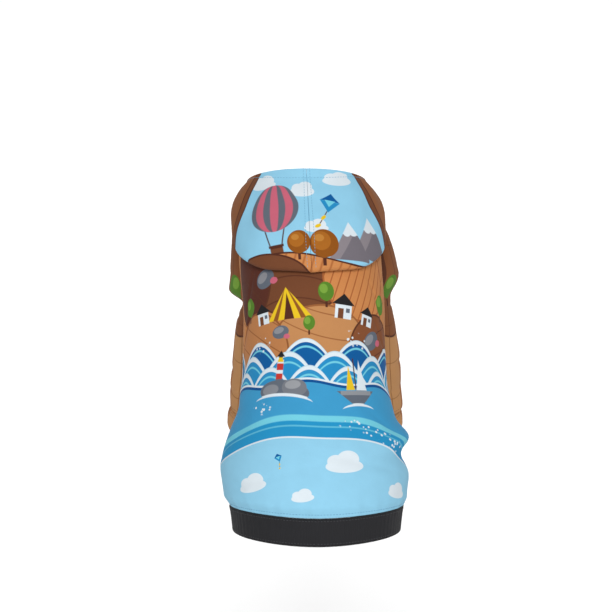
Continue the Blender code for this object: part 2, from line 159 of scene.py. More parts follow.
class Wire:
    """A number in a node tree, which Python's own operators calculate with."""

    def __init__(self, tree: bpy.types.NodeTree, socket: bpy.types.NodeSocket) -> None:
        """Take a socket as the number."""
        self.tree = tree
        self.socket = socket

    def math(self, operation: str, *others: "Wire | float") -> "Wire":
        """Put a Math node behind this wire.

        Args:
            operation: The node's operation, in Blender's words.
            others: The node's further inputs.

        Returns:
            The node's result.
        """
        node = self.tree.nodes.new("ShaderNodeMath")
        node.operation = operation
        for socket, value in zip(node.inputs, (self, *others)):
            if isinstance(value, Wire):
                self.tree.links.new(value.socket, socket)
            else:
                socket.default_value = value
        return Wire(self.tree, node.outputs[0])

    def __add__(self, other: "Wire | float") -> "Wire":
        """Add."""
        return self.math("ADD", other)

    def __sub__(self, other: "Wire | float") -> "Wire":
        """Take away."""
        return self.math("SUBTRACT", other)

    def __mul__(self, other: "Wire | float") -> "Wire":
        """Multiply."""
        return self.math("MULTIPLY", other)

    def into(self, socket: bpy.types.NodeSocket) -> None:
        """Lead the wire into a socket."""
        self.tree.links.new(self.socket, socket)

    def raise_surface(self, shader: bpy.types.Node, strength: float, depth: float) -> None:
        """Raise a shader's surface by the wire, at a strength and up to a depth in metres.

        Args:
            shader: The shader.
            strength: The bump's strength.
            depth: Its depth.
        """
        bump = self.tree.nodes.new("ShaderNodeBump")
        set_inputs(bump, {"Strength": strength, "Distance": depth})
        self.into(bump.inputs["Height"])
        self.tree.links.new(bump.outputs[0], shader.inputs["Normal"])

    def sine(self) -> "Wire":
        """Sine of the wire, in radians."""
        return self.math("SINE")

    def size(self) -> "Wire":
        """The wire without its sign."""
        return self.math("ABSOLUTE")

    def least(self, other: "Wire | float") -> "Wire":
        """The lower of two values."""
        return self.math("MINIMUM", other)

    def most(self, other: "Wire | float") -> "Wire":
        """The higher of two values."""
        return self.math("MAXIMUM", other)

    def repeat(self, pitch: float) -> "Wire":
        """Distance from the middle of the nearest of the strips that a pitch cuts the wire into."""
        return self.math("PINGPONG", 0.5 * pitch)

    def inside(self, blur: float = 0.0004) -> "Wire":
        """Mask that is 1 where the wire is below zero.

        Args:
            blur: Width of the soft edge.

        Returns:
            The mask, from 0 to 1.
        """
        return self.math("MULTIPLY_ADD", -1.0 / blur, 0.5).least(1.0).most(0.0)


class Canvas:
    """A flat picture in metres that is painted layer by layer, like a screen print."""

    def __init__(self, tree: bpy.types.NodeTree, x: Wire, y: Wire, ground: Colour) -> None:
        """Lay out a canvas of one colour over two coordinates.

        Args:
            tree: The node tree.
            x: The coordinate across.
            y: The coordinate up.
            ground: The colour that it starts with.
        """
        self.tree = tree
        self.x = x
        self.y = y
        base = tree.nodes.new("ShaderNodeRGB")
        base.outputs[0].default_value = (*ground, 1.0)
        self.colour = base.outputs[0]

    @staticmethod
    def over(place: bpy.types.NodeSocket, ground: Colour) -> "Canvas":
        """Lay a canvas over the coordinates that a socket gives.

        Args:
            place: The socket.
            ground: The colour that it starts with.

        Returns:
            The canvas.
        """
        tree = place.id_data
        split = tree.nodes.new("ShaderNodeSeparateXYZ")
        tree.links.new(place, split.inputs[0])
        return Canvas(tree, Wire(tree, split.outputs["X"]), Wire(tree, split.outputs["Y"]), ground)

    def paint(self, mask: Wire, colour: "Colour | bpy.types.NodeSocket") -> None:
        """Lay a colour over the picture.

        Args:
            mask: Where the colour goes, from 0 to 1.
            colour: The colour, or the socket that gives it.
        """
        mix = self.tree.nodes.new("ShaderNodeMix")
        mix.data_type = "RGBA"
        mask.into(mix.inputs[0])
        self.tree.links.new(self.colour, mix.inputs[6])
        if isinstance(colour, tuple):
            mix.inputs[7].default_value = (*colour, 1.0)
        else:
            self.tree.links.new(colour, mix.inputs[7])
        self.colour = mix.outputs[2]

    def local(self, x: float, y: float, turn: float = 0.0, wide: float = 1.0,
              high: float = 1.0) -> tuple[Wire, Wire]:
        """Distances across and up from a spot.

        Args:
            x: The spot's place across.
            y: The spot's place up.
            turn: Turn to the left, in degrees.
            wide: Length that becomes 1 across.
            high: Length that becomes 1 up.

        Returns:
            The two distances.
        """
        cos, sin = math.cos(math.radians(turn)), math.sin(math.radians(turn))
        if turn == 0.0:
            return (self.x.math("MULTIPLY_ADD", 1.0 / wide, -x / wide),
                    self.y.math("MULTIPLY_ADD", 1.0 / high, -y / high))
        rest = self.y.math("MULTIPLY_ADD", sin / wide, -(x * cos + y * sin) / wide)
        across = self.x.math("MULTIPLY_ADD", cos / wide, rest)
        rest = self.y.math("MULTIPLY_ADD", cos / high, (x * sin - y * cos) / high)
        return across, self.x.math("MULTIPLY_ADD", -sin / high, rest)

    def oval(self, x: float, y: float, wide: float, high: float, turn: float = 0.0) -> Wire:
        """Signed distance from an oval of two half-axes, at a place and a turn.

        Args:
            x: Its place across.
            y: Its place up.
            wide: Half its width.
            high: Half its height.
            turn: Turn to the left, in degrees.

        Returns:
            The distance, below zero inside.
        """
        across, upward = self.local(x, y, turn, wide, high)
        across, upward = across * across, upward * upward
        reach = (across + upward).math("SQRT")
        steep = across.math("MULTIPLY_ADD", wide ** -2.0, upward * high ** -2.0).math("SQRT")
        return (reach * (reach - 1.0)).math("DIVIDE", steep)

    def block(self, x: float, y: float, wide: float, high: float, turn: float = 0.0) -> Wire:
        """Signed distance from a block of two half-sides, at a place and a turn."""
        across, upward = self.local(x, y, turn)
        return (across.size() - wide).most(upward.size() - high)

    def wedge(self, x: float, y: float, wide: float, high: float, turn: float = 0.0) -> Wire:
        """Signed distance from a triangle with its tip up, of half a base and half a height.

        Args:
            x: Its place across.
            y: Its place up.
            wide: Half its width.
            high: Half its height.
            turn: Turn to the left, in degrees.

        Returns:
            The distance, below zero inside.
        """
        across, upward = self.local(x, y, turn)
        slope = math.hypot(2.0 * high, wide)
        flank = across.size() * (2.0 * high / slope) + (upward - high) * (wide / slope)
        return flank.most(upward * -1.0 - high)

    def stamp(self, motif: bpy.types.NodeTree, x: float, y: float, size: float,
              turn: float = 0.0) -> None:
        """Print a motif.

        Args:
            motif: The motif's node group.
            x: Its place across.
            y: Its place up.
            size: Length of its unit.
            turn: Turn to the left, in degrees.
        """
        node = self.tree.nodes.new("ShaderNodeGroup")
        node.node_tree = motif
        across, upward = self.local(x, y, turn, size, size)
        across.into(node.inputs["Across"])
        upward.into(node.inputs["Up"])
        self.paint(Wire(self.tree, node.outputs["Mask"]), node.outputs["Colour"])

    def stamps(self, motif: "Motif", spots: Sequence[tuple[float, ...]]) -> None:
        """Print a motif at each spot of place across, place up, size and, if any, turn."""
        for spot in spots:
            self.stamp(motif.group(), *spot)


@dataclass(frozen=True)
class Motif:
    """A small picture of flat shapes, a unit across, that a print repeats.

    Each shape is (kind, x, y, half width, half height, turn in degrees, colour), and the kind
    is the name of the canvas's method that draws it.
    """

    name: str
    shapes: tuple[tuple[str, float, float, float, float, float, Colour], ...]
    blur: float = 0.016

    def group(self) -> bpy.types.NodeTree:
        """Build the motif's node group, once.

        Returns:
            The group.
        """
        found = bpy.data.node_groups.get(self.name)
        if found:
            return found
        tree, start, end = new_group(
            self.name, {"Across": "Float", "Up": "Float"}, {"Colour": "Color", "Mask": "Float"})
        across, upward = Wire(tree, start.outputs["Across"]), Wire(tree, start.outputs["Up"])
        canvas = Canvas(tree, across, upward, self.shapes[0][6])
        whole = None
        for kind, x, y, wide, high, turn, colour in self.shapes:
            edge = getattr(canvas, kind)(x, y, wide, high, turn)
            canvas.paint((edge - self.blur).inside(self.blur), colour)
            mask = edge.inside(self.blur)
            whole = mask if whole is None else whole.most(mask)
        tree.links.new(canvas.colour, end.inputs["Colour"])
        whole.into(end.inputs["Mask"])
        return tree


WHITE = srgb(232, 243, 250)
SKY = srgb(154, 216, 245)
SEA = srgb(42, 148, 206)
DEEP = srgb(16, 96, 164)
AQUA = srgb(122, 216, 236)
BROWN = srgb(122, 74, 48)
DARK_BROWN = srgb(88, 48, 35)
ORANGE = srgb(207, 138, 80)
SLATE = srgb(104, 112, 124)
CHARCOAL = srgb(38, 38, 40)
PINK = srgb(212, 106, 128)
YELLOW = srgb(243, 204, 40)
GREEN = srgb(92, 138, 46)
RED = srgb(205, 62, 52)

CLOUD = Motif("cloud_motif", (
    ("oval", 0.0, -0.05, 0.55, 0.22, 0.0, WHITE),
    ("oval", -0.22, 0.10, 0.26, 0.22, 0.0, WHITE),
    ("oval", 0.14, 0.16, 0.32, 0.28, 0.0, WHITE),
))
BALLOON = Motif("balloon_motif", (
    ("block", -0.15, -0.66, 0.012, 0.22, 12.0, DARK_BROWN),
    ("block", 0.15, -0.66, 0.012, 0.22, -12.0, DARK_BROWN),
    ("oval", 0.0, 0.0, 0.50, 0.56, 0.0, SLATE),
    ("oval", 0.0, 0.0, 0.37, 0.56, 0.0, PINK),
    ("oval", 0.0, 0.0, 0.21, 0.56, 0.0, SLATE),
    ("oval", 0.0, 0.0, 0.07, 0.56, 0.0, PINK),
    ("block", 0.0, -0.95, 0.12, 0.10, 0.0, BROWN),
    ("block", 0.0, -0.86, 0.14, 0.025, 0.0, DARK_BROWN),
))
KITE = Motif("kite_motif", (
    ("block", -0.10, -0.62, 0.014, 0.34, -16.0, DARK_BROWN),
    ("wedge", 0.0, 0.18, 0.30, 0.15, 0.0, DEEP),
    ("wedge", 0.0, -0.19, 0.30, 0.22, 180.0, SEA),
    ("wedge", 0.0, -0.06, 0.13, 0.11, 180.0, AQUA),
    ("oval", -0.10, -0.62, 0.09, 0.05, 60.0, YELLOW),
    ("oval", -0.20, -0.92, 0.09, 0.05, 40.0, YELLOW),
))
PEAK = Motif("peak_motif", (
    ("wedge", 0.0, 0.0, 0.46, 0.44, 0.0, srgb(146, 138, 144)),
    ("wedge", 0.11, -0.12, 0.34, 0.32, 0.0, srgb(122, 116, 124)),
    ("wedge", 0.0, 0.30, 0.15, 0.14, 0.0, WHITE),
    ("oval", -0.07, 0.17, 0.06, 0.06, 0.0, WHITE),
    ("oval", 0.07, 0.18, 0.06, 0.05, 0.0, WHITE),
))
TREE = Motif("tree_motif", (
    ("block", 0.0, -0.52, 0.05, 0.22, 0.0, DARK_BROWN),
    ("oval", 0.0, 0.0, 0.42, 0.46, 0.0, srgb(150, 86, 26)),
    ("oval", -0.08, 0.09, 0.26, 0.28, 0.0, srgb(178, 108, 36)),
    ("oval", -0.13, 0.18, 0.12, 0.10, 0.0, srgb(200, 134, 58)),
))
SAILBOAT = Motif("sailboat_motif", (
    ("block", 0.02, 0.16, 0.018, 0.52, 0.0, DARK_BROWN),
    ("wedge", 0.20, 0.20, 0.17, 0.42, 0.0, WHITE),
    ("wedge", -0.15, 0.14, 0.13, 0.34, 0.0, YELLOW),
    ("wedge", 0.02, -0.48, 0.58, 0.26, 180.0, SLATE),
    ("block", 0.02, -0.27, 0.46, 0.05, 0.0, srgb(150, 154, 160)),
    ("oval", 0.02, -0.78, 0.50, 0.20, 0.0, WHITE),
    ("oval", 0.02, -0.86, 0.60, 0.20, 0.0, srgb(66, 162, 212)),
))
ISLET = Motif("islet_motif", (
    ("block", -0.12, 0.22, 0.07, 0.26, 0.0, WHITE),
    ("block", -0.12, 0.14, 0.07, 0.05, 0.0, RED),
    ("block", -0.12, 0.34, 0.07, 0.05, 0.0, RED),
    ("block", -0.12, 0.50, 0.045, 0.05, 0.0, YELLOW),
    ("wedge", -0.12, 0.60, 0.09, 0.06, 0.0, CHARCOAL),
    ("oval", 0.0, -0.16, 0.52, 0.24, -3.0, SLATE),
    ("oval", 0.22, -0.06, 0.24, 0.17, 0.0, srgb(124, 128, 136)),
    ("oval", 0.18, -0.01, 0.14, 0.07, 6.0, srgb(160, 163, 168)),
    ("oval", -0.28, -0.12, 0.16, 0.09, 10.0, srgb(140, 143, 150)),
    ("oval", 0.0, -0.36, 0.60, 0.16, 0.0, WHITE),
    ("oval", 0.0, -0.43, 0.66, 0.17, 0.0, srgb(66, 162, 212)),
))
HUT = Motif("hut_motif", (
    ("block", 0.0, -0.18, 0.32, 0.26, 0.0, WHITE),
    ("block", -0.10, -0.27, 0.09, 0.17, 0.0, BROWN),
    ("block", 0.17, -0.14, 0.06, 0.06, 0.0, SLATE),
    ("wedge", 0.0, 0.25, 0.44, 0.19, 0.0, CHARCOAL),
))
BUSH = Motif("bush_motif", (
    ("block", 0.0, -0.42, 0.05, 0.20, 0.0, DARK_BROWN),
    ("oval", 0.0, 0.05, 0.34, 0.40, 0.0, GREEN),
    ("oval", -0.10, 0.16, 0.16, 0.18, 0.0, srgb(126, 170, 66)),
))
TENT = Motif("tent_motif", (
    ("wedge", 0.0, 0.0, 0.56, 0.36, 0.0, YELLOW),
    ("wedge", 0.0, 0.0, 0.40, 0.36, 0.0, srgb(150, 92, 40)),
    ("wedge", 0.0, 0.0, 0.27, 0.36, 0.0, YELLOW),
    ("wedge", 0.0, -0.10, 0.11, 0.26, 0.0, DARK_BROWN),
))
BOULDER = Motif("boulder_motif", (
    ("oval", 0.0, 0.0, 0.52, 0.36, 8.0, SLATE),
    ("oval", -0.10, 0.10, 0.30, 0.16, 12.0, srgb(146, 148, 154)),
    ("oval", 0.40, -0.26, 0.18, 0.13, 0.0, PINK),
))


def ripple(canvas: Canvas, base: float, height: float, waves: float, shift: float = 0.0) -> Wire:
    """Signed distance below a wavy line.

    Args:
        canvas: The picture.
        base: Height of the line.
        height: Half the height of a wave.
        waves: Waves for each metre across.
        shift: Turn of the first wave, in radians.

    Returns:
        A wire that is below zero under the line.
    """
    swing = (canvas.x * (2.0 * math.pi * waves) + shift).sine() * height
    return canvas.y - swing - base


def scallop(canvas: Canvas, base: float, height: float, pitch: float, shift: float = 0.0) -> Wire:
    """Signed distance below a row of round wave tops of one pitch, moved to a side by a shift.

    Args:
        canvas: The picture.
        base: Height of the tops.
        height: Height of a wave.
        pitch: Width of a wave.
        shift: Move to the left.

    Returns:
        A wire that is below zero under the line.
    """
    swing = (canvas.x + shift).repeat(pitch) * (2.0 / pitch)
    crest = (swing * swing) * height
    return canvas.y + crest - base


@dataclass(frozen=True)
class Knit:
    """Fine jersey: rows of small loops and the soft unevenness of a dyed cloth."""

    wale: float = 0.0012
    course: float = 0.0009
    depth: float = 0.00006

    def group(self) -> bpy.types.NodeTree:
        """Build the shared group that puts out the knit's height and its shade, once.

        Returns:
            The group.
        """
        found = bpy.data.node_groups.get("jersey_knit")
        if found:
            return found
        tree, start, end = new_group(
            "jersey_knit", {"Place": "Vector"}, {"Height": "Float", "Shade": "Float"})
        canvas = Canvas.over(start.outputs["Place"], WHITE)
        across = canvas.x.repeat(self.wale) * (2.0 / self.wale)
        leaning = canvas.y + across * (0.6 * self.course)
        along = leaning.repeat(self.course) * (2.0 / self.course)
        loops = (across * 0.6) + (along * 0.4)
        soft = self.noise(tree, start.outputs["Place"], 900.0, 2.0)
        slub = self.noise(tree, start.outputs["Place"], 60.0, 3.0)
        (loops * 0.5 + soft * 0.5 + slub * 0.6).into(end.inputs["Height"])
        (slub * 0.7 + soft * 0.3).into(end.inputs["Shade"])
        return tree

    def over(self, place: bpy.types.NodeSocket) -> tuple[Wire, Wire]:
        """Lay the knit over coordinates, and give its height and its shade.

        Args:
            place: The socket that gives them.

        Returns:
            The height and the shade.
        """
        tree = place.id_data
        knit = tree.nodes.new("ShaderNodeGroup")
        knit.node_tree = self.group()
        tree.links.new(place, knit.inputs["Place"])
        return Wire(tree, knit.outputs["Height"]), Wire(tree, knit.outputs["Shade"])

    def noise(self, tree: bpy.types.NodeTree, place: bpy.types.NodeSocket, scale: float,
              detail: float) -> Wire:
        """Add a noise at a scale and a level of detail.

        Args:
            tree: The node tree.
            place: The socket of its coordinates.
            scale: The noise's scale.
            detail: Its level of detail.

        Returns:
            The noise, from 0 to 1.
        """
        node = tree.nodes.new("ShaderNodeTexNoise")
        tree.links.new(place, node.inputs["Vector"])
        set_inputs(node, {"Scale": scale, "Detail": detail})
        return Wire(tree, node.outputs[0])


@dataclass(frozen=True)
class PrintedCloth:
    """Printed jersey. A subclass paints its own picture on the canvas."""

    name: str
    ground: Colour
    roughness: float = 0.82
    sheen: float = 0.03
    specular: float = 0.08
    depth_of_colour: float = 0.80
    bump: float = 0.5
    knit: Knit = Knit()

    def picture(self, canvas: Canvas) -> None:
        """Paint the print's layers."""

    def material(self) -> bpy.types.Material:
        """Build the material, once.

        Returns:
            The material.
        """
        found = bpy.data.materials.get(self.name)
        if found:
            return found
        material, tree, shader = new_material(self.name)
        place = flat_place(tree)
        canvas = Canvas.over(place, self.ground)
        self.picture(canvas)
        height, shade = self.knit.over(place)
        worn = tree.nodes.new("ShaderNodeHueSaturation")
        ((shade * 0.16 + 0.92) * self.depth_of_colour).into(worn.inputs["Value"])
        tree.links.new(canvas.colour, worn.inputs["Color"])
        tree.links.new(worn.outputs[0], shader.inputs["Base Color"])
        (shade * 0.12 + (self.roughness - 0.06)).into(shader.inputs["Roughness"])
        height.raise_surface(shader, self.bump, self.knit.depth)
        set_inputs(shader, {
            "Sheen Weight": self.sheen, "Sheen Roughness": 0.5, "Specular IOR Level": self.specular})
        return material


@dataclass(frozen=True)
class BodyPrint(PrintedCloth):
    """Striped hills above three rows of waves, an open sea and a pale shore sky."""

    open_sea: Colour = srgb(66, 162, 212)

    def picture(self, canvas: Canvas) -> None:
        """Paint the print's layers.

        Args:
            canvas: The picture.
        """
        self.hills(canvas)
        self.waves(canvas)
        self.shallows(canvas)

    def stripes(self, canvas: Canvas, slope: float, bend: float, pitch: float, width: float) -> Wire:
        """Mask of thin lines that a slope and a bend carry across the cloth.

        Args:
            canvas: The picture.
            slope: Fall of the lines for each metre across.
            bend: How far they arch.
            pitch: Distance between them.
            width: Half their width.

        Returns:
            The mask, from 0 to 1.
        """
        arch = canvas.x * canvas.x * bend
        along = canvas.y + canvas.x * slope + arch
        return (along.repeat(pitch) - width).inside(0.0008)

    def hill(self, canvas: Canvas, shape: Wire, colour: Colour, lines: Wire, ink: Colour) -> None:
        """Paint a hill with its field lines and its outline.

        Args:
            canvas: The picture.
            shape: Signed distance from the hill.
            colour: The hill's colour.
            lines: Mask of the field lines.
            ink: Colour of the lines and of the outline.
        """
        canvas.paint(shape.inside(), colour)
        canvas.paint(lines * shape.inside(), ink)
        canvas.paint((shape.size() - 0.0010).inside(), ink)

    def hills(self, canvas: Canvas) -> None:
        """Hills with field lines, huts, bushes, boulders and a tent.

        Args:
            canvas: The picture.
        """
        canvas.paint(self.stripes(canvas, -0.12, -3.0, 0.0260, 0.0007), srgb(168, 102, 58))
        ink = srgb(98, 56, 38)
        # Oval (x, y, half width, half height, turn), colour, lines (slope, bend, pitch, width), ink.
        for oval, colour, lines, line_ink in (
            ((-0.020, -0.104, 0.066, 0.056, 10.0), BROWN, (0.22, 5.0, 0.024, 0.0007), ink),
            ((-0.082, -0.116, 0.034, 0.050, -12.0), srgb(94, 50, 38), (0.9, 0.0, 0.022, 0.0006), ink),
            ((0.056, -0.118, 0.044, 0.046, -14.0), srgb(214, 142, 84),
             (-2.6, 0.0, 0.025, 0.0020), srgb(176, 104, 58)),
            ((0.006, -0.190, 0.056, 0.040, 4.0), srgb(203, 144, 92),
             (0.30, -4.0, 0.026, 0.0006), srgb(160, 100, 58)),
            ((0.082, -0.196, 0.040, 0.042, -8.0), srgb(140, 84, 52), (-0.5, 0.0, 0.024, 0.0006), ink),
            ((-0.072, -0.200, 0.042, 0.046, 6.0), srgb(196, 132, 82),
             (0.6, 0.0, 0.028, 0.0006), srgb(150, 92, 52)),
        ):
            self.hill(canvas, canvas.oval(*oval), colour, self.stripes(canvas, *lines), line_ink)
        canvas.stamp(TENT.group(), -0.030, -0.147, 0.048, 3.0)
        canvas.stamps(HUT, ((0.034, -0.150, 0.031, -4.0), (-0.064, -0.156, 0.026, 5.0),
                            (0.066, -0.158, 0.025, -8.0)))
        canvas.stamps(BUSH, ((0.014, -0.136, 0.026), (-0.088, -0.146, 0.026),
                             (0.094, -0.142, 0.028), (-0.006, -0.170, 0.020)))
        canvas.stamps(BOULDER, ((-0.056, -0.118, 0.026, 20.0), (0.074, -0.184, 0.026, 30.0),
                                (-0.040, -0.178, 0.020)))

    def waves(self, canvas: Canvas) -> None:
        """Three rows of waves with pale crests, then the open sea with an islet and a boat.

        Args:
            canvas: The picture.
        """
        pale = srgb(206, 230, 242)
        rows = (
            (-0.186, 0.026, 0.062, 0.010, DEEP, 0.0026),
            (-0.200, 0.022, 0.054, 0.030, SEA, 0.0034),
            (-0.216, 0.018, 0.046, 0.006, srgb(50, 150, 206), 0.0030),
        )
        for base, height, pitch, shift, colour, crest in rows:
            row = scallop(canvas, base, height, pitch, shift)
            canvas.paint(row.inside(), pale)
            canvas.paint((row + 0.4 * crest).inside(), WHITE)
            canvas.paint((row + 1.7 * crest).inside(), colour)
            canvas.paint(((row + 3.6 * crest).size() - 0.0011).inside(0.001), AQUA)
        self.drops(canvas, 0.050, -0.186, 0.016, 0.008, -20.0)
        self.drops(canvas, -0.066, -0.190, 0.014, 0.009, 30.0)
        low = ripple(canvas, -0.235, 0.0030, 11.0, 2.2)
        canvas.paint((low - 0.0022).inside(), WHITE)
        canvas.paint(low.inside(), srgb(18, 84, 150))
        canvas.paint((low + 0.0030).inside(), self.open_sea)
        canvas.stamp(ISLET.group(), -0.034, -0.236, 0.056, -4.0)
        canvas.stamp(SAILBOAT.group(), 0.046, -0.234, 0.040, 5.0)

    def drops(self, canvas: Canvas, x: float, y: float, wide: float, high: float, turn: float) -> None:
        """Paint a patch of white drops of spray.

        Args:
            canvas: The picture.
            x: Its place across.
            y: Its place up.
            wide: Half its width.
            high: Half its height.
            turn: Turn to the left, in degrees.
        """
        foam = canvas.tree.nodes.new("ShaderNodeTexVoronoi")
        foam.inputs["Scale"].default_value = 210.0
        flat = canvas.tree.nodes["UV Map"]
        canvas.tree.links.new(flat.outputs[0], foam.inputs["Vector"])
        dots = (Wire(canvas.tree, foam.outputs["Distance"]) - 0.30).inside(0.08)
        patch = canvas.oval(x, y, wide, high, turn).inside(0.003)
        canvas.paint(dots * patch, WHITE)

    def shallows(self, canvas: Canvas) -> None:
        """The open sea with its bright streak, and the pale cloth above the hem.

        Args:
            canvas: The picture.
        """
        arch = canvas.y + canvas.x * canvas.x * 1.2 + (canvas.x * 62.0 + 1.0).sine() * 0.0016
        canvas.paint((arch + 0.2740).inside(0.001), srgb(40, 154, 208))
        canvas.paint(((arch + 0.2740).size() - 0.0034).inside(0.0012), AQUA)
        canvas.paint((((arch + 0.2830).size() - 0.0009)).inside(0.0008) * 0.6, AQUA)
        self.drops(canvas, 0.074, -0.292, 0.030, 0.008, -22.0)
        self.drops(canvas, 0.040, -0.281, 0.014, 0.006, 0.0)
        self.drops(canvas, -0.060, -0.262, 0.012, 0.006, 0.0)
        canvas.paint((arch + 0.2950).inside(0.0006), WHITE)
        canvas.paint((arch + 0.2968).inside(0.0006), SKY)
        canvas.stamps(CLOUD, ((0.030, -0.326, 0.034, 6.0), (-0.062, -0.346, 0.028, 6.0),
                              (0.088, -0.350, 0.024, 6.0), (-0.012, -0.362, 0.020, 6.0)))
        canvas.stamp(KITE.group(), -0.034, -0.318, 0.013, 20.0)


@dataclass(frozen=True)
class HoodPrint(PrintedCloth):
    """A light sky with a balloon, a kite, peaks and trees, between two strips of boards."""

    def picture(self, canvas: Canvas) -> None:
        """Paint the print's layers.

        Args:
            canvas: The picture.
        """
        canvas.stamps(CLOUD, ((0.034, -0.016, 0.030), (-0.006, -0.030, 0.024),
                              (-0.050, -0.020, 0.026), (0.006, -0.074, 0.020)))
        canvas.stamps(PEAK, ((0.058, -0.080, 0.050), (0.036, -0.086, 0.044)))
        canvas.stamp(KITE.group(), 0.022, -0.044, 0.034, -14.0)
        canvas.stamp(BALLOON.group(), -0.034, -0.050, 0.048, 6.0)
        self.ground_line(canvas)
        self.boards(canvas)

    def ground_line(self, canvas: Canvas) -> None:
        """The first hills with their trees, at the hood's lower edge.

        Args:
            canvas: The picture.
        """
        right = ripple(canvas, -0.104, 0.0060, 7.0, 2.6)
        canvas.paint(right.inside(), srgb(214, 142, 84))
        stripes = ((canvas.x - canvas.y * 0.30).repeat(0.0085) - 0.0009).inside(0.0012)
        canvas.paint(stripes * right.inside(), srgb(184, 112, 62))
        canvas.paint((right.size() - 0.0009).inside(), DARK_BROWN)
        canvas.stamps(TREE, ((0.012, -0.090, 0.030), (-0.010, -0.088, 0.024)))
        left = canvas.oval(-0.046, -0.134, 0.046, 0.036, 8.0)
        canvas.paint(left.inside(), BROWN)
        canvas.paint((left.size() - 0.0009).inside(), DARK_BROWN)

    def boards(self, canvas: Canvas) -> None:
        """Boards down both sides.

        Args:
            canvas: The picture.
        """
        strip = (canvas.x.size() * -1.0) - canvas.y * 0.30 + 0.056
        canvas.paint(strip.inside(), BROWN)
        canvas.paint((strip + 0.0075).inside(), srgb(150, 94, 56))
        canvas.paint((strip.size() - 0.0007).inside(), DARK_BROWN)
        canvas.paint(((strip + 0.0075).size() - 0.0007).inside(), DARK_BROWN)


@dataclass(frozen=True)
class SleevePrint(PrintedCloth):
    """Boards with a wandering grain, brown at the shoulder and tan at the wrist."""

    def picture(self, canvas: Canvas) -> None:
        """Paint the print's layers.

        Args:
            canvas: The picture.
        """
        wander = (canvas.y * 21.0).sine() * 0.006 + (canvas.x * 55.0).sine() * 0.002
        across = canvas.x + wander
        canvas.paint((across.repeat(0.060) - 0.011).inside(0.0006), srgb(158, 100, 62))
        canvas.paint((across.repeat(0.094) - 0.008).inside(0.0006), srgb(96, 58, 42))
        low = ripple(canvas, -0.150, 0.012, 8.0)
        canvas.paint(low.inside(0.001), srgb(201, 148, 98))
        board = (across.repeat(0.060) - 0.008).inside(0.0006)
        canvas.paint(board * low.inside(0.001), srgb(178, 116, 70))
        canvas.paint((low.size() - 0.0012).inside(0.0008), srgb(92, 56, 40))
        joints = ripple(canvas, -0.006, 0.004, 13.0).repeat(0.046) - 0.0006
        canvas.paint(joints.inside(0.0006) * 0.5, srgb(116, 70, 44))
        seams = (across.repeat(0.0300) - 0.0005).inside(0.0006)
        canvas.paint(seams, srgb(104, 62, 44))
        canvas.paint(seams * low.inside(0.001), srgb(156, 106, 66))
        canvas.stamps(BUSH, ((0.020, -0.100, 0.034), (0.100, -0.086, 0.030),
                             (0.150, -0.110, 0.028), (0.215, -0.104, 0.034)))


@dataclass(frozen=True)
class RibCloth:
    """Charcoal rib knit of the hem band."""

    name: str = "charcoal_rib"
    pitch: float = 0.0020
    depth: float = 0.0004
    bump: float = 0.7
    sheen: float = 0.05
    specular: float = 0.10

    def material(self) -> bpy.types.Material:
        """Build the material, once.

        Returns:
            The material.
        """
        material, tree, shader = new_material(self.name)
        place = flat_place(tree)
        canvas = Canvas.over(place, CHARCOAL)
        rib = canvas.x.repeat(self.pitch) * (2.0 / self.pitch)
        height, shade = Knit().over(place)
        # Painted shade: the rib's grooves, where its height is low, are darkened to a deeper charcoal.
        canvas.paint((rib - 0.5).inside(0.8) * 0.30, srgb(34, 34, 36))
        canvas.paint(shade * 0.20, srgb(60, 60, 64))
        tree.links.new(canvas.colour, shader.inputs["Base Color"])
        (shade * 0.15 + 0.80).into(shader.inputs["Roughness"])
        (rib + height * 0.3).raise_surface(shader, self.bump, self.depth)
        set_inputs(shader, {
            "Sheen Weight": self.sheen, "Sheen Roughness": 0.45, "Specular IOR Level": self.specular})
        return material


@dataclass(frozen=True)
class ThreadFinish:
    """Twisted sewing thread in one colour."""

    name: str
    colour: Colour

    def material(self) -> bpy.types.Material:
        """Build the material, once.

        Returns:
            The material.
        """
        found = bpy.data.materials.get(self.name)
        if found:
            return found
        material, tree, shader = new_material(self.name)
        place = tree.nodes.new("ShaderNodeTexCoord")
        canvas = Canvas.over(place.outputs["Object"], self.colour)
        fibre = Knit().noise(tree, place.outputs["Object"], 1500.0, 2.0)
        canvas.paint(fibre * 0.5, tuple(0.55 * channel for channel in self.colour))
        tree.links.new(canvas.colour, shader.inputs["Base Color"])
        (fibre * 0.2 + 0.5).into(shader.inputs["Roughness"])
        return material


SEA_THREAD = ThreadFinish("sea_thread", srgb(96, 150, 184))
WOOD_THREAD = ThreadFinish("wood_thread", srgb(112, 70, 48))
CHARCOAL_THREAD = ThreadFinish("charcoal_thread", srgb(62, 62, 66))
SKY_THREAD = ThreadFinish("sky_thread", srgb(120, 176, 204))


# Shapes, as the solids have them

@dataclass(frozen=True)
class Curve:
    """A smooth curve through a table's rows that never overshoots them."""

    at: tuple[float, ...]
    value: tuple[float, ...]

    def __call__(self, where: Grid) -> Grid:
        """Read the curve at an array of places.

        Args:
            where: The places.

        Returns:
            The curve's values there.
        """
        xs, ys = np.array(self.at), np.array(self.value)
        slopes = np.diff(ys) / np.diff(xs)
        product = slopes[:-1] * slopes[1:]
        total = slopes[:-1] + slopes[1:]
        inner = np.where(product > 0.0, 2.0 * product / np.where(total == 0.0, 1.0, total), 0.0)
        bends = np.concatenate([slopes[:1], inner, slopes[-1:]])
        held = np.clip(where, xs[0], xs[-1])
        i = np.clip(np.searchsorted(xs, held, side="right") - 1, 0, len(xs) - 2)
        span = xs[i + 1] - xs[i]
        t = (held - xs[i]) / span
        return (
            ys[i] * (1.0 + 2.0 * t) * (1.0 - t) ** 2
            + ys[i + 1] * t * t * (3.0 - 2.0 * t)
            + span * bends[i] * t * (1.0 - t) ** 2
            - span * bends[i + 1] * t * t * (1.0 - t)
        )


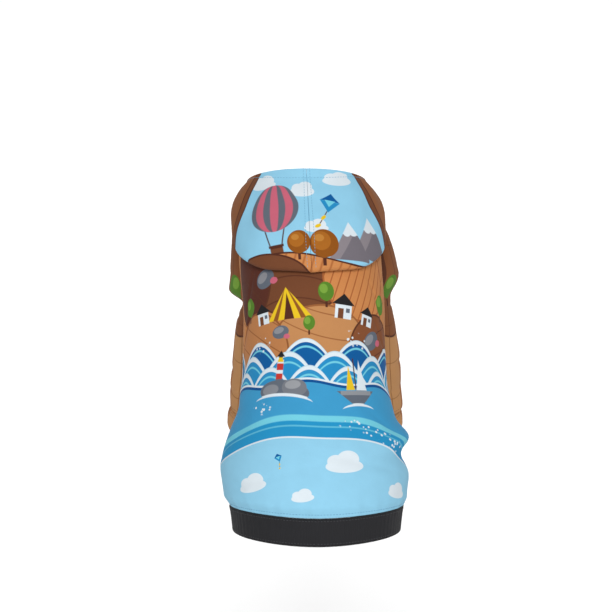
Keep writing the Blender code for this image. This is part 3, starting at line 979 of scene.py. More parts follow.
def columns(rows: Sequence[tuple[float, ...]]) -> list[Curve]:
    """Turn a table, whose first column is the place, into a curve for each further column."""
    table = list(zip(*rows))
    return [Curve(tuple(table[0]), tuple(column)) for column in table[1:]]


def round_reach(across: Grid, along: Grid, angle: Grid, fullness: float) -> Grid:
    """Distance from the middle of a full ellipse to its edge.

    Args:
        across: Half-axis at 90 degrees.
        along: Half-axis at 0 degrees.
        angle: Angles, in radians.
        fullness: 2 for an ellipse, and more for fuller corners.

    Returns:
        The distances.
    """
    across_part = np.abs(np.sin(angle) / across) ** fullness
    along_part = np.abs(np.cos(angle) / along) ** fullness
    return (across_part + along_part) ** (-1.0 / fullness)


def turn_between(angle: Grid, middle: float) -> Grid:
    """Signed degrees from middle to angle, the short way round."""
    return (angle - middle + 180.0) % 360.0 - 180.0


def unit(vectors: Grid) -> Grid:
    """Vectors of length one."""
    return vectors / np.maximum(np.linalg.norm(vectors, axis=-1, keepdims=True), 1e-12)


LEAN = math.radians(60.0)
SPINE = np.array((0.0, math.cos(LEAN), math.sin(LEAN)))
BACKWARD = np.array((0.0, -math.sin(LEAN), math.cos(LEAN)))
NORMAL_STEP = 0.004


@dataclass(frozen=True)
class BodyShape:
    """The tube of the body. Angles run round from the spine to the wearer's right."""

    back_length: float = 0.384
    belly_cut: float = 0.058
    neck_scoop: float = 0.006
    neck: tuple[float, float] = (0.114, 0.124)
    chest: tuple[float, float] = (0.158, 0.200)
    waist: tuple[float, float] = (0.160, 0.172)
    hip: tuple[float, float] = (0.202, 0.188)
    hem: tuple[float, float] = (0.190, 0.168)
    sway: float = 0.0055
    fullness: float = 2.15
    fold_depth: float = 0.006
    gather_place: float = 0.985
    gather_spread: float = 0.028
    gather_depth: float = 0.00035
    girth_radius: float = 0.083
    cloth: float = 0.0022
    folds: tuple[tuple[float, ...], ...] = (
        (92.0, 0.845, 32.0, 0.026, 0.0004, 0.40),
        (88.0, 0.785, 36.0, 0.034, -0.0004, -1.80),
        (90.0, 0.905, 34.0, 0.036, 0.0004, -0.45),
        (-88.0, 0.700, 30.0, 0.040, 0.0009, 0.45),
        (-96.0, 0.880, 34.0, 0.045, -0.0006, -0.40),
        (58.0, 0.560, 22.0, 0.045, 0.0020, 0.35),
        (-62.0, 0.520, 22.0, 0.045, -0.0022, 0.35),
        (150.0, 0.560, 40.0, 0.042, 0.0010, 0.90),
        (-155.0, 0.680, 40.0, 0.042, -0.0010, 0.80),
        (175.0, 0.840, 46.0, 0.042, 0.0006, 0.80),
    )
    creases: tuple[tuple[float, ...], ...] = (
        (40.0, 0.860, 34.0, 0.012, 0.0012, 0.16),
        (-34.0, 0.900, 30.0, 0.011, -0.0014, 0.14),
        (66.0, 0.770, 24.0, 0.012, 0.0030, 0.20),
        (-70.0, 0.800, 22.0, 0.012, -0.0028, 0.20),
        (64.0, 0.470, 14.0, 0.012, 0.0048, 0.22),
        (-66.0, 0.440, 14.0, 0.012, -0.0050, 0.22),
        (60.0, 0.380, 12.0, 0.011, 0.0058, 0.18),
        (-60.0, 0.350, 12.0, 0.011, -0.0060, 0.18),
        (128.0, 0.420, 18.0, 0.014, -0.0040, 0.30),
        (-128.0, 0.400, 18.0, 0.014, 0.0040, 0.30),
        (162.0, 0.700, 30.0, 0.014, 0.0016, 0.35),
        (-170.0, 0.480, 30.0, 0.014, -0.0012, 0.30),
        (178.0, 0.600, 30.0, 0.012, 0.0008, 0.30),
    )

    def sections(self) -> list[Curve]:
        """Width, depth, back share and sway, by the place down the body.

        Returns:
            The four curves.
        """
        lean = self.sway
        return columns((
            (-0.12, 0.96 * self.neck[0], 0.96 * self.neck[1], 0.50, -1.0 * lean),
            (0.00, self.neck[0], self.neck[1], 0.50, -1.0 * lean),
            (0.035, 0.85 * self.chest[0], 0.65 * self.chest[1], 0.49, -0.9 * lean),
            (0.065, 0.92 * self.chest[0], 0.69 * self.chest[1], 0.49, -0.8 * lean),
            (0.10, 0.955 * self.chest[0], 0.74 * self.chest[1], 0.48, -0.7 * lean),
            (0.24, self.chest[0], self.chest[1], 0.42, -0.2 * lean),
            (0.42, 0.99 * self.chest[0], 0.94 * self.chest[1], 0.42, 0.55 * lean),
            (0.60, self.waist[0], self.waist[1], 0.47, 0.55 * lean),
            (0.72, 0.87 * self.hip[0], 0.92 * self.hip[1], 0.49, 0.6 * lean),
            (0.83, 0.965 * self.hip[0], 0.98 * self.hip[1], 0.50, 0.3 * lean),
            (0.92, self.hip[0], self.hip[1], 0.50, 0.6 * lean),
            (0.97, 0.99 * self.hip[0], 0.98 * self.hip[1], 0.50, 0.8 * lean),
            (1.00, self.hem[0], self.hem[1], 0.50, 1.0 * lean),
            (1.10, 0.95 * self.hem[0], 0.95 * self.hem[1], 0.50, 1.0 * lean),
        ))

    def sink(self, angle: Grid, place: Grid) -> Grid:
        """How far folds, creases and the gathers above the hem sink the cloth.

        Args:
            angle: Angles from the spine, in radians.
            place: Shares of the way from the neckline to the hem.

        Returns:
            The depths.
        """
        degrees = np.degrees(angle)
        depth = np.zeros(np.broadcast(angle, place).shape)
        for around, down, across, along, slant, share in self.folds + self.creases:
            turn = turn_between(degrees, around)
            side = turn / across
            rise = (place - down - slant * turn) / along
            depth += share * self.fold_depth * np.exp(-side * side - rise * rise)
        gather = np.exp(-((place - self.gather_place) / self.gather_spread) ** 2)
        ripple_round = np.sin(31.0 * angle + 1.7 * np.sin(3.0 * angle)) + 0.5 * np.sin(47.0 * angle)
        return depth + self.gather_depth * gather * ripple_round

    def span(self, angle: Grid) -> tuple[Grid, Grid]:
        """Where the cloth starts below the neck plane, and its length from there.

        Args:
            angle: Angles from the spine, in radians.

        Returns:
            The start and the length.
        """
        under = 0.5 * (1.0 - np.cos(angle))
        top = self.neck_scoop * under
        return top, self.back_length - self.belly_cut * under - top

    def down(self, angle: Grid, place: Grid) -> Grid:
        """Distance from the neck plane down the spine."""
        top, length = self.span(angle)
        return top + place * length

    def place_at(self, angle: Grid, down: Grid) -> Grid:
        """The place of a distance down the spine."""
        top, length = self.span(angle)
        return (down - top) / length

    def reach(self, angle: Grid, place: Grid) -> Grid:
        """Distance from the section's middle to the cloth's outer face.

        Args:
            angle: Angles from the spine, in radians.
            place: Shares of the way from the neckline to the hem.

        Returns:
            The distances.
        """
        width, depth, back_share, _ = (curve(place) for curve in self.sections())
        share = np.where(np.cos(angle) > 0.0, back_share, 1.0 - back_share)
        return round_reach(0.5 * width, share * depth, angle, self.fullness) - self.sink(angle, place)

    def sheet(self, angle: Grid, place: Grid) -> Grid:
        """Points of the outer face, measured from the middle of the neck plane.

        Args:
            angle: Angles from the spine, in radians.
            place: Shares of the way from the neckline to the hem.

        Returns:
            The points.
        """
        angle, place = np.broadcast_arrays(angle, place)
        reach = self.reach(angle, place)
        sway = self.sections()[3](place)
        right = (sway + reach * np.sin(angle))[..., None] * np.array((1.0, 0.0, 0.0))
        back = (reach * np.cos(angle))[..., None] * BACKWARD
        return right + back - self.down(angle, place)[..., None] * SPINE

    def normal(self, angle: Grid, place: Grid) -> Grid:
        """Directions that stand on the outer face.

        Args:
            angle: Angles from the spine, in radians.
            place: Shares of the way from the neckline to the hem.

        Returns:
            The directions, of length one.
        """
        ahead = self.sheet(angle + NORMAL_STEP, place) - self.sheet(angle - NORMAL_STEP, place)
        below = self.sheet(angle, place + NORMAL_STEP) - self.sheet(angle, place - NORMAL_STEP)
        return unit(np.cross(below, ahead))

    def point(self, angle: Grid, place: Grid, lift: Grid) -> Grid:
        """Points that stand off the outer face by lift."""
        return self.sheet(angle, place) + self.normal(angle, place) * np.asarray(lift)[..., None]

    def holds(self, points: Grid) -> Grid:
        """True for the points that lie inside the body's outer face.

        Args:
            points: The points, measured as sheet's are.

        Returns:
            The mask.
        """
        down = -points @ SPINE
        angle = np.arctan2(points[..., 0], points @ BACKWARD)
        for _ in range(3):
            place = self.place_at(angle, down)
            sway = self.sections()[3](place)
            angle = np.arctan2(points[..., 0] - sway, points @ BACKWARD)
        place = self.place_at(angle, down)
        far = np.hypot(points[..., 0] - self.sections()[3](place), points @ BACKWARD)
        return (far < self.reach(angle, place)) & (place > 0.0)


BODY = BodyShape()
WITHERS_DOWN = 0.045
WITHERS_PLACE = BODY.place_at(np.zeros(1), np.full(1, WITHERS_DOWN))
WITHERS = BODY.point(np.zeros(1), WITHERS_PLACE, np.full(1, -BODY.cloth))[0]


def rounded(distance: Grid, thickness: float) -> Grid:
    """Share of the cloth's thickness that is left near an edge, which makes the edge round.

    Args:
        distance: Distance from the edge.
        thickness: Thickness of the cloth.

    Returns:
        The share, from 0 to 1.
    """
    radius = 0.5 * thickness
    inward = 1.0 - np.clip(distance / radius, 0.0, 1.0)
    return np.sqrt(1.0 - inward * inward)


def thinned(steps: Grid, length: float, thickness: float) -> Grid:
    """Share of the thickness at steps from 0 to 1 along a length whose ends are round."""
    return rounded(np.minimum(steps, 1.0 - steps) * length, thickness)


def full_turn(count: int) -> Grid:
    """Angles all the way round, in one row."""
    return np.linspace(0.0, 2.0 * math.pi, count, endpoint=False)[None, :]


def flat_grid(across: Grid, down: Grid) -> Grid:
    """Flat coordinates from what lies across and what lies down the cloth."""
    return np.stack(np.broadcast_arrays(across, down), axis=-1)


# Rows of faces in a rounded edge, as edge_steps sets them. The print goes round to their end.
EDGE_ROWS = 4


def edge_steps(count: int, length: float, thickness: float) -> Grid:
    """Places from 0 to 1 with extra ones near both ends, where an edge is rounded.

    Args:
        count: Even steps between the ends.
        length: Length that 1 stands for, in metres.
        thickness: Thickness of the cloth.

    Returns:
        The places in rising order.
    """
    radius = 0.5 * thickness / length
    near = radius * np.array((0.0, 0.08, 0.3, 0.65, 1.0))
    return np.concatenate([near, np.linspace(0.0, 1.0, count + 1)[1:-1], 1.0 - near[::-1]])


class ClothMesh:
    """Meshes of cloth walls, with flat coordinates in metres in the UV map named flat."""

    @staticmethod
    def wall(name: str, outer: Grid, inner: Grid, flat: Grid, closed: bool) -> bpy.types.Object:
        """Make a closed wall between two faces that share their border points.

        Args:
            name: Name of the piece.
            outer: Points of the outer face, rows by columns.
            inner: Points of the inner face.
            flat: Flat coordinates, rows by columns, with one more column if closed.
            closed: True if the last column meets the first.

        Returns:
            The object, at the origin.
        """
        rows, cols = outer.shape[:2]
        outer_ids = np.arange(rows * cols).reshape(rows, cols)
        inner_ids = outer_ids + rows * cols
        inner_ids[0], inner_ids[-1] = outer_ids[0], outer_ids[-1]
        if not closed:
            inner_ids[:, 0], inner_ids[:, -1] = outer_ids[:, 0], outer_ids[:, -1]
        points = np.concatenate([outer.reshape(-1, 3), inner.reshape(-1, 3)]) - WITHERS
        quads, places = [], []
        for ids, order in ((outer_ids, (0, 1, 2, 3)), (inner_ids, (3, 2, 1, 0))):
            turned = np.concatenate([ids, ids[:, :1]], axis=1) if closed else ids
            corners = (turned[:-1, :-1], turned[1:, :-1], turned[1:, 1:], turned[:-1, 1:])
            spots = (flat[:-1, :-1], flat[1:, :-1], flat[1:, 1:], flat[:-1, 1:])
            quads.append(np.stack([corners[k].ravel() for k in order], axis=1))
            places.append(np.stack([spots[k].reshape(-1, 2) for k in order], axis=1))
        thing = ClothMesh.build(name, points, np.concatenate(quads), np.concatenate(places))
        inward = np.ones((rows - 1, len(quads[0]) // (rows - 1)), dtype=np.int32)
        inward[:EDGE_ROWS], inward[-EDGE_ROWS:] = 0, 0
        facing = np.concatenate([np.zeros(len(quads[0]), dtype=np.int32), inward.ravel()])
        thing.data.polygons.foreach_set("material_index", facing)
        return thing

    @staticmethod
    def build(name: str, points: Grid, quads: Grid, places: Grid) -> bpy.types.Object:
        """Put points and quads into an object, without the points that no face uses.

        Args:
            name: Name of the object.
            points: The points.
            quads: The four points of each face.
            places: Flat coordinates of each face's corners.

        Returns:
            The object.
        """
        used, renumbered = np.unique(quads, return_inverse=True)
        mesh = bpy.data.meshes.new(name)
        mesh.from_pydata(points[used].tolist(), [], renumbered.reshape(quads.shape).tolist())
        layer = mesh.uv_layers.new(name="flat")
        layer.data.foreach_set("uv", places.reshape(-1).astype(np.float32))
        mesh.shade_smooth()
        return in_scene(name, mesh)

    @staticmethod
    def core(name: str, rings: Grid) -> bpy.types.Object:
        """Make a capped solid from closed rings, for cutting.

        Args:
            name: Name of the object.
            rings: Points, rows by columns.

        Returns:
            The object.
        """
        rows, cols = rings.shape[:2]
        ids = np.arange(rows * cols).reshape(rows, cols)
        turned = np.concatenate([ids, ids[:, :1]], axis=1)
        quads = np.stack([part.ravel() for part in (
            turned[:-1, :-1], turned[1:, :-1], turned[1:, 1:], turned[:-1, 1:])], axis=1)
        faces = quads.tolist() + [ids[0].tolist(), ids[-1][::-1].tolist()]
        mesh = bpy.data.meshes.new(name)
        mesh.from_pydata((rings.reshape(-1, 3) - WITHERS).tolist(), [], faces)
        mesh.polygons.foreach_set("material_index", np.ones(len(faces), dtype=np.int32))
        return in_scene(name, mesh)

    @staticmethod
    def cut(thing: bpy.types.Object, core: bpy.types.Object) -> None:
        """Cut a core out of a piece and apply it.

        Args:
            thing: The piece.
            core: What is cut out of it.
        """
        bpy.ops.object.select_all(action="DESELECT")
        bpy.context.view_layer.objects.active = thing
        thing.select_set(True)
        cutter = thing.modifiers.new("cut", "BOOLEAN")
        cutter.operation = "DIFFERENCE"
        cutter.solver = "MANIFOLD"
        cutter.object = core
        bpy.ops.object.modifier_apply(modifier=cutter.name)
        thing.data.shade_smooth()

    @staticmethod
    def flip_if_inside_out(thing: bpy.types.Object) -> None:
        """Turn a closed shell's faces outwards if its volume is below zero.

        Args:
            thing: The object with the shell.
        """
        mesh = thing.data
        mesh.calc_loop_triangles()
        corners = np.array([tri.vertices for tri in mesh.loop_triangles])
        points = np.array([vertex.co for vertex in mesh.vertices])
        a, b, c = (points[corners[:, k]] for k in range(3))
        if float((a * np.cross(b, c)).sum()) < 0.0:
            mesh.flip_normals()


def read_along(far: Grid, rows: Grid, where: float) -> Grid:
    """The row of a table at a distance, between the distances at which its rows stand."""
    return np.array([np.interp(where, far, rows[:, k]) for k in range(3)])


@dataclass
class Seam:
    """A row of short stitches along a line on the cloth."""

    pitch: float = 0.0034
    length: float = 0.0024
    radius: float = 0.00028
    sides: int = 6
    profile: tuple[tuple[float, float], ...] = (
        (-0.5, 0.0), (-0.42, 0.75), (0.0, 1.0), (0.42, 0.75), (0.5, 0.0))

    def stitch(self, points: list[Grid], faces: list[tuple[int, ...]], ends: Sequence[Grid],
               up: Grid) -> None:
        """Add a stitch, with a tip at each end and rings of points between.

        Args:
            points: Points of all the stitches.
            faces: Faces of all the stitches.
            ends: The stitch's two ends.
            up: Direction that stands on the cloth.
        """
        sides = self.sides
        run = ends[1] - ends[0]
        across = unit(np.cross(up, run))
        centre = 0.5 * (ends[0] + ends[1])
        first = len(points)
        for share, width in self.profile:
            spot = centre + run * share + up * self.radius * (0.35 * width - 0.2)
            if width == 0.0:
                points.append(spot)
                continue
            for k in range(sides):
                turn = 2.0 * math.pi * k / sides
                way = across * math.cos(turn) + up * math.sin(turn)
                points.append(spot + self.radius * width * way)
        rings = [first + 1 + r * sides for r in range(3)]
        last = first + 1 + 3 * sides
        for k in range(sides):
            n = (k + 1) % sides
            faces.append((first, rings[0] + n, rings[0] + k))
            faces.append((last, rings[2] + k, rings[2] + n))
            for low, high in zip(rings, rings[1:]):
                faces.append((low + k, low + n, high + n, high + k))

    def stitches(self, name: str, lines: Sequence[tuple[Grid, Grid]],
                 finish: ThreadFinish) -> bpy.types.Object:
        """Sew stitches along lines.

        Args:
            name: Name of the piece.
            lines: Pairs of points along the cloth and the directions that stand on it.
            finish: The thread.

        Returns:
            One object with all the stitches.
        """
        points, faces = [], []
        for path, normals in lines:
            steps = np.linalg.norm(np.diff(path, axis=0), axis=1)
            far = np.concatenate([[0.0], np.cumsum(steps)])
            for middle in np.arange(0.5 * self.pitch, far[-1], self.pitch):
                ends = [read_along(far, path, middle + s * 0.5 * self.length) for s in (-1, 1)]
                self.stitch(points, faces, ends, unit(read_along(far, normals, middle)))
        mesh = bpy.data.meshes.new(name)
        mesh.from_pydata((np.array(points) - WITHERS).tolist(), [], faces)
        mesh.shade_smooth()
        thing = in_scene(name, mesh)
        ClothMesh.flip_if_inside_out(thing)
        thing.data.materials.append(finish.material())
        return thing


def clothe(thing: bpy.types.Object, face: bpy.types.Material, reverse: bpy.types.Material) -> None:
    """Turn a piece's faces outwards and give it a material for each of the cloth's faces.

    Args:
        thing: The piece.
        face: Material of the printed face.
        reverse: Material of the reverse.
    """
    ClothMesh.flip_if_inside_out(thing)
    thing.data.materials.append(face)
    thing.data.materials.append(reverse)


def dress(thing: bpy.types.Object, node: str) -> None:
    """Let a piece stand for its solid.

    Args:
        thing: The piece.
        node: The solid that it replaces.
    """
    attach(thing, "root")
    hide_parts(node)
    LOG.info("%s: %d faces", thing.name, len(thing.data.polygons))


def trim(thing: bpy.types.Object) -> bpy.types.Object:
    """Let a small piece, such as a row of stitches, ride with the cloth that it is on.

    Args:
        thing: The piece.

    Returns:
        The same piece.
    """
    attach(thing, "root")
    LOG.info("%s: %d faces", thing.name, len(thing.data.polygons))
    return thing


@dataclass
class Trunk:
    """The back and belly panels, with the side seams and the armholes."""

    shape: BodyShape = BODY
    side_seam_deg: float = 104.0
    seam_stitch_deg: float = 2.6
    hem_stitch: float = 0.9905
    side_stitches: tuple[float, float] = (0.42, 0.985)
    hollow_steps: tuple[int, int] = (220, 140)
    seam_gap: float = 0.0003
    cut_shares: tuple[float, float] = (0.93, 0.90)
    back_columns: int = 190
    belly_columns: int = 110
    rows: int = 180
    panels: dict[str, bpy.types.Object] = field(default_factory=dict)

    def make(self, print_cloth: PrintedCloth, reverse: PrintedCloth) -> None:
        """Build both panels.

        Args:
            print_cloth: The face of the cloth.
            reverse: Its unprinted reverse.
        """
        seam = math.radians(self.side_seam_deg)
        gap = self.seam_gap / self.shape.chest[0]
        spans = {
            "back_panel": (gap - seam, seam - gap, self.back_columns),
            "belly_panel": (seam + gap, 2.0 * math.pi - seam - gap, self.belly_columns),
        }
        cloth = self.shape.cloth
        for name, (first, last, count) in spans.items():
            width = (last - first) * self.shape.girth_radius
            across = edge_steps(count, width, cloth)
            along = edge_steps(self.rows, self.shape.back_length, cloth)
            angle = (first + across * (last - first))[None, :]
            place = along[:, None]
            half = 0.5 * cloth * thinned(across, width, cloth)[None, :]
            half = half * thinned(along, self.shape.back_length, cloth)[:, None]
            middle = self.shape.sheet(angle, place)
            normal = self.shape.normal(*np.broadcast_arrays(angle, place))
            outer = middle + normal * (half - 0.5 * cloth)[..., None]
            inner = middle - normal * (half + 0.5 * cloth)[..., None]
            flat = flat_grid(angle * self.shape.girth_radius, -self.shape.down(angle, place))
            panel = ClothMesh.wall(name, outer, inner, flat, False)
            clothe(panel, print_cloth.material(), reverse.material())
            self.panels[name] = panel

    def hollow(self) -> bpy.types.Object:
        """The space inside the body, for cutting the sleeves' roots.

        Returns:
            A closed solid.
        """
        turns, steps = self.hollow_steps
        angle, place = np.broadcast_arrays(full_turn(turns), np.linspace(0.0, 1.0, steps)[:, None])
        inner = self.shape.point(angle, place, np.full(angle.shape, -self.shape.cloth))
        return ClothMesh.core("body_hollow", inner)

    def line(self, angle: Grid, place: Grid) -> tuple[Grid, Grid]:
        """Points on the outer face for a seam, with the directions that stand on it."""
        return self.shape.sheet(angle, place), self.shape.normal(angle, place)

    def stitches(self) -> bpy.types.Object:
        """Sew a row along the hem and one on each side of the side seams.

        Returns:
            One object with all the rows.
        """
        round_it = np.linspace(0.0, 2.0 * math.pi, 400)
        rows = [self.line(round_it, np.full_like(round_it, self.hem_stitch))]
        down = np.linspace(*self.side_stitches, 200)
        for side in Side:
            for degrees in (self.side_seam_deg - self.seam_stitch_deg,
                            self.side_seam_deg + self.seam_stitch_deg):
                angle = np.full_like(down, side.value * math.radians(degrees))
                rows.append(self.line(angle, down))
        return trim(Seam().stitches("body_stitches", rows, SEA_THREAD))

    def finish(self, sleeves: Sequence["Sleeve"]) -> None:
        """Dress the panels and sew the seams.

        Args:
            sleeves: The sleeves, whose armholes carry a row of stitches.
        """
        for name, thing in self.panels.items():
            dress(thing, name)
        rows = [sleeve.armhole_line(self.shape) for sleeve in sleeves]
        armholes = Seam().stitches("armhole_stitches", rows, WOOD_THREAD)
        sewn = [self.stitches(), trim(armholes)]
        width = 2.0 * math.radians(self.side_seam_deg) * self.shape.girth_radius
        width = 2.0 * math.pi * self.shape.girth_radius - width


@dataclass
class HemBand:
    """The ribbed band below the hem seam, with its two rows of stitches."""

    shape: BodyShape = BODY
    height: float = 0.030
    side_lift: float = 0.05
    cloth: float = 0.0032
    seam_gap: float = 0.00005
    cut_radius: float = 0.0885
    stitch_shares: tuple[float, float] = (0.10, 0.90)
    columns: int = 400
    rows: int = 26

    def height_at(self, angle: Grid) -> Grid:
        """Height of the band, which is a little less at its sides."""
        return self.height * (1.0 - self.side_lift * np.abs(np.sin(angle)) ** 6)

    def make(self, rib: RibCloth) -> None:
        """Build and dress the band.

        Args:
            rib: The band's knit.
        """
        angle = full_turn(self.columns)
        along = edge_steps(self.rows, self.height, self.cloth)
        hem = self.shape.down(angle, np.ones_like(angle)) + self.seam_gap
        down = hem + along[:, None] * self.height_at(angle)
        place = self.shape.place_at(angle, down)
        angle = np.broadcast_to(angle, place.shape)
        half = 0.5 * self.cloth * thinned(along, self.height, self.cloth)[:, None]
        half = np.broadcast_to(half, place.shape)
        proud = 0.5 * (self.cloth - self.shape.cloth) - 0.5 * self.cloth
        sheet, normal = self.shape.sheet(angle, place), self.shape.normal(angle, place)
        wobble = 0.00018 * np.sin(95.0 * angle)
        outer = sheet + normal * (proud + half + wobble * (half > 0.0))[..., None]
        inner = sheet + normal * (proud - half)[..., None]
        round_it = np.linspace(0.0, 2.0 * math.pi, self.columns + 1) * self.shape.girth_radius
        flat = flat_grid(round_it[None, :], -along[:, None] * self.height)
        band = ClothMesh.wall("hem_band", outer, inner, flat, True)
        clothe(band, rib.material(), rib.material())
        dress(band, "hem_band")
        turns = np.linspace(0.0, 2.0 * math.pi, self.columns)
        rows = []
        hem = self.shape.down(turns, np.ones_like(turns)) + self.seam_gap
        for share in self.stitch_shares:
            drop = hem + share * self.height_at(turns)
            spot = self.shape.place_at(turns, drop)
            lift = np.full_like(turns, 0.5 * (self.cloth - self.shape.cloth))
            rows.append((self.shape.point(turns, spot, lift), self.shape.normal(turns, spot)))
        sewn = trim(Seam().stitches("band_stitches", rows, CHARCOAL_THREAD))


@dataclass
class SleeveShape:
    """A sleeve and its cuff, on one side."""

    side: Side
    length: float = 0.262
    top_drop: float = 0.019
    shoulder: tuple[float, float] = (0.052, 0.016)
    wrist_place: tuple[float, float] = (0.069, 0.062)
    arm: tuple[float, float] = (0.074, 0.090)
    wrist: tuple[float, float] = (0.062, 0.064)
    fold_depth: float = 0.006
    gather_place: float = 0.985
    gather_spread: float = 0.03
    gather_depth: float = 0.00030
    sway: float = 0.0055
    fullness: float = 2.1
    cuff_height: float = 0.026
    seam_gap: float = 0.0003
    creases: dict[Side, tuple[tuple[float, ...], ...]] = field(default_factory=lambda: {
        Side.RIGHT: (
            (0.430, -30.0, 75.0, 0.035, 0.55), (0.340, -30.0, 80.0, 0.055, -0.45),
            (0.640, 120.0, 80.0, 0.045, 0.60), (0.520, 160.0, 80.0, 0.035, 0.80),
            (0.300, 40.0, 50.0, 0.016, 0.22), (0.480, 20.0, 60.0, 0.014, 0.22),
            (0.760, 10.0, 70.0, 0.018, 0.20), (0.880, -60.0, 60.0, 0.014, 0.18),
            (0.250, 0.0, 60.0, 0.110, -0.80), (0.740, 0.0, 60.0, 0.170, -0.60),
            (0.985, 0.0, 60.0, 0.060, -0.50),
        ),
        Side.LEFT: (
            (0.475, -20.0, 80.0, 0.040, 0.95), (0.415, -20.0, 80.0, 0.040, -0.35),
            (0.700, 120.0, 80.0, 0.045, 0.60), (0.560, 160.0, 80.0, 0.035, 0.80),
            (0.330, 40.0, 50.0, 0.016, 0.22), (0.540, 20.0, 60.0, 0.014, 0.22),
            (0.800, 30.0, 70.0, 0.018, 0.20), (0.900, -40.0, 60.0, 0.014, 0.18),
            (0.440, 0.0, 60.0, 0.060, -0.35), (0.700, 0.0, 60.0, 0.170, -0.35),
        ),
    })

    def rings(self) -> list[Curve]:
        """Out, forward, width, depth, sway and tilt, by the drop down the sleeve.

        Returns:
            The six curves.
        """
        arm_w, arm_d = self.arm
        wrist_w, wrist_d = self.wrist
        lean = self.sway
        return columns((
            (0.000, -0.55, -0.04, 0.16 * arm_w, 0.12 * arm_d, -0.8 * lean, 30.0),
            (0.015, -0.34, -0.04, 0.62 * arm_w, 0.50 * arm_d, -0.8 * lean, 30.0),
            (0.045, -0.26, -0.04, 0.82 * arm_w, 0.74 * arm_d, -0.8 * lean, 30.0),
            (0.095, -0.22, -0.03, 0.92 * arm_w, 0.90 * arm_d, -0.7 * lean, 29.0),
            (0.160, -0.10, -0.01, arm_w, arm_d, -0.4 * lean, 27.0),
            (0.250, 0.08, 0.03, arm_w, arm_d, -0.1 * lean, 23.0),
            (0.340, 0.24, 0.11, arm_w, 0.96 * arm_d, 0.2 * lean, 18.0),
            (0.410, 0.25, 0.20, 0.96 * arm_w, 0.88 * arm_d, 0.3 * lean, 14.0),
            (0.470, 0.18, 0.28, 1.01 * wrist_w, 1.15 * wrist_d, 0.9 * lean, 9.0),
            (0.580, 0.32, 0.42, 1.04 * wrist_w, 1.10 * wrist_d, 0.9 * lean, 4.0),
            (0.790, 0.64, 0.72, 1.03 * wrist_w, 1.04 * wrist_d, 0.9 * lean, -3.0),
            (0.910, 0.88, 0.90, wrist_w, wrist_d, 0.8 * lean, -6.0),
            (1.000, 1.00, 1.00, 0.93 * wrist_w, 0.93 * wrist_d, 0.8 * lean, -6.0),
        ))

    def middle(self, drop: Grid) -> Grid:
        """Middles of the rings.

        Args:
            drop: Shares of the way down the sleeve.

        Returns:
            The points.
        """
        out, forward, _, _, sway, _ = (curve(drop) for curve in self.rings())
        sideways = self.shoulder[0] + out * (self.wrist_place[0] - self.shoulder[0])
        ahead = self.shoulder[1] + forward * (self.wrist_place[1] - self.shoulder[1])
        fall = -self.top_drop - drop * self.length
        return np.stack([sway + self.side.value * sideways, ahead, fall], axis=-1)

    def around(self, angle: Grid, reach: Grid, drop: Grid) -> Grid:
        """Ways from the rings' middles to their edges.

        Args:
            angle: Angles from straight out, in radians.
            reach: Distances from the middles.
            drop: Shares of the way down the sleeve.

        Returns:
            The ways, as vectors.
        """
        tilt = np.radians(self.rings()[5](drop))
        out, ahead = self.side.value * reach * np.cos(angle), reach * np.sin(angle)
        return np.stack([out, ahead * np.cos(tilt), -ahead * np.sin(tilt)], axis=-1)

    def point(self, angle: Grid, drop: Grid, lift: Grid) -> Grid:
        """Points that stand off the sleeve's outer face by lift.

        Args:
            angle: Angles from straight out, in radians.
            drop: Shares of the way down the sleeve.
            lift: Distances off the face.

        Returns:
            The points.
        """
        angle, drop = np.broadcast_arrays(angle, drop)
        _, _, width, depth, _, _ = (curve(drop) for curve in self.rings())
        reach = round_reach(0.5 * depth, 0.5 * width, angle, self.fullness)
        for at, around, across, along, share in self.creases[self.side]:
            turn = turn_between(np.degrees(angle), around) / across
            rise = (drop - at) / along
            reach = reach - share * self.fold_depth * np.exp(-turn * turn - rise * rise)
        gather = np.exp(-((drop - self.gather_place) / self.gather_spread) ** 2)
        reach = reach - self.gather_depth * gather * np.sin(17.0 * angle + np.sin(2.0 * angle))
        return self.middle(drop) + self.around(angle, reach + lift, drop)

    def cuff_point(self, angle: Grid, drop: Grid, lift: Grid) -> Grid:
        """Points that stand off the cuff's outer face by lift.

        Args:
            angle: Angles from straight out, in radians.
            drop: Shares of the way down the cuff.
            lift: Distances off the face.

        Returns:
            The points.
        """
        angle, drop = np.broadcast_arrays(angle, drop)
        shares = Curve((0.0, 0.35, 0.70, 1.0), (0.95, 1.05, 1.06, 0.98))(drop)
        wide, deep = self.wrist
        reach = round_reach(0.5 * deep * shares, 0.5 * wide * shares, angle, self.fullness)
        end = self.middle(np.ones(1))[0]
        fall = np.stack([0.0 * drop, 0.0 * drop, -self.seam_gap - drop * self.cuff_height], axis=-1)
        return end + fall + self.around(angle, reach + lift, np.ones_like(drop))


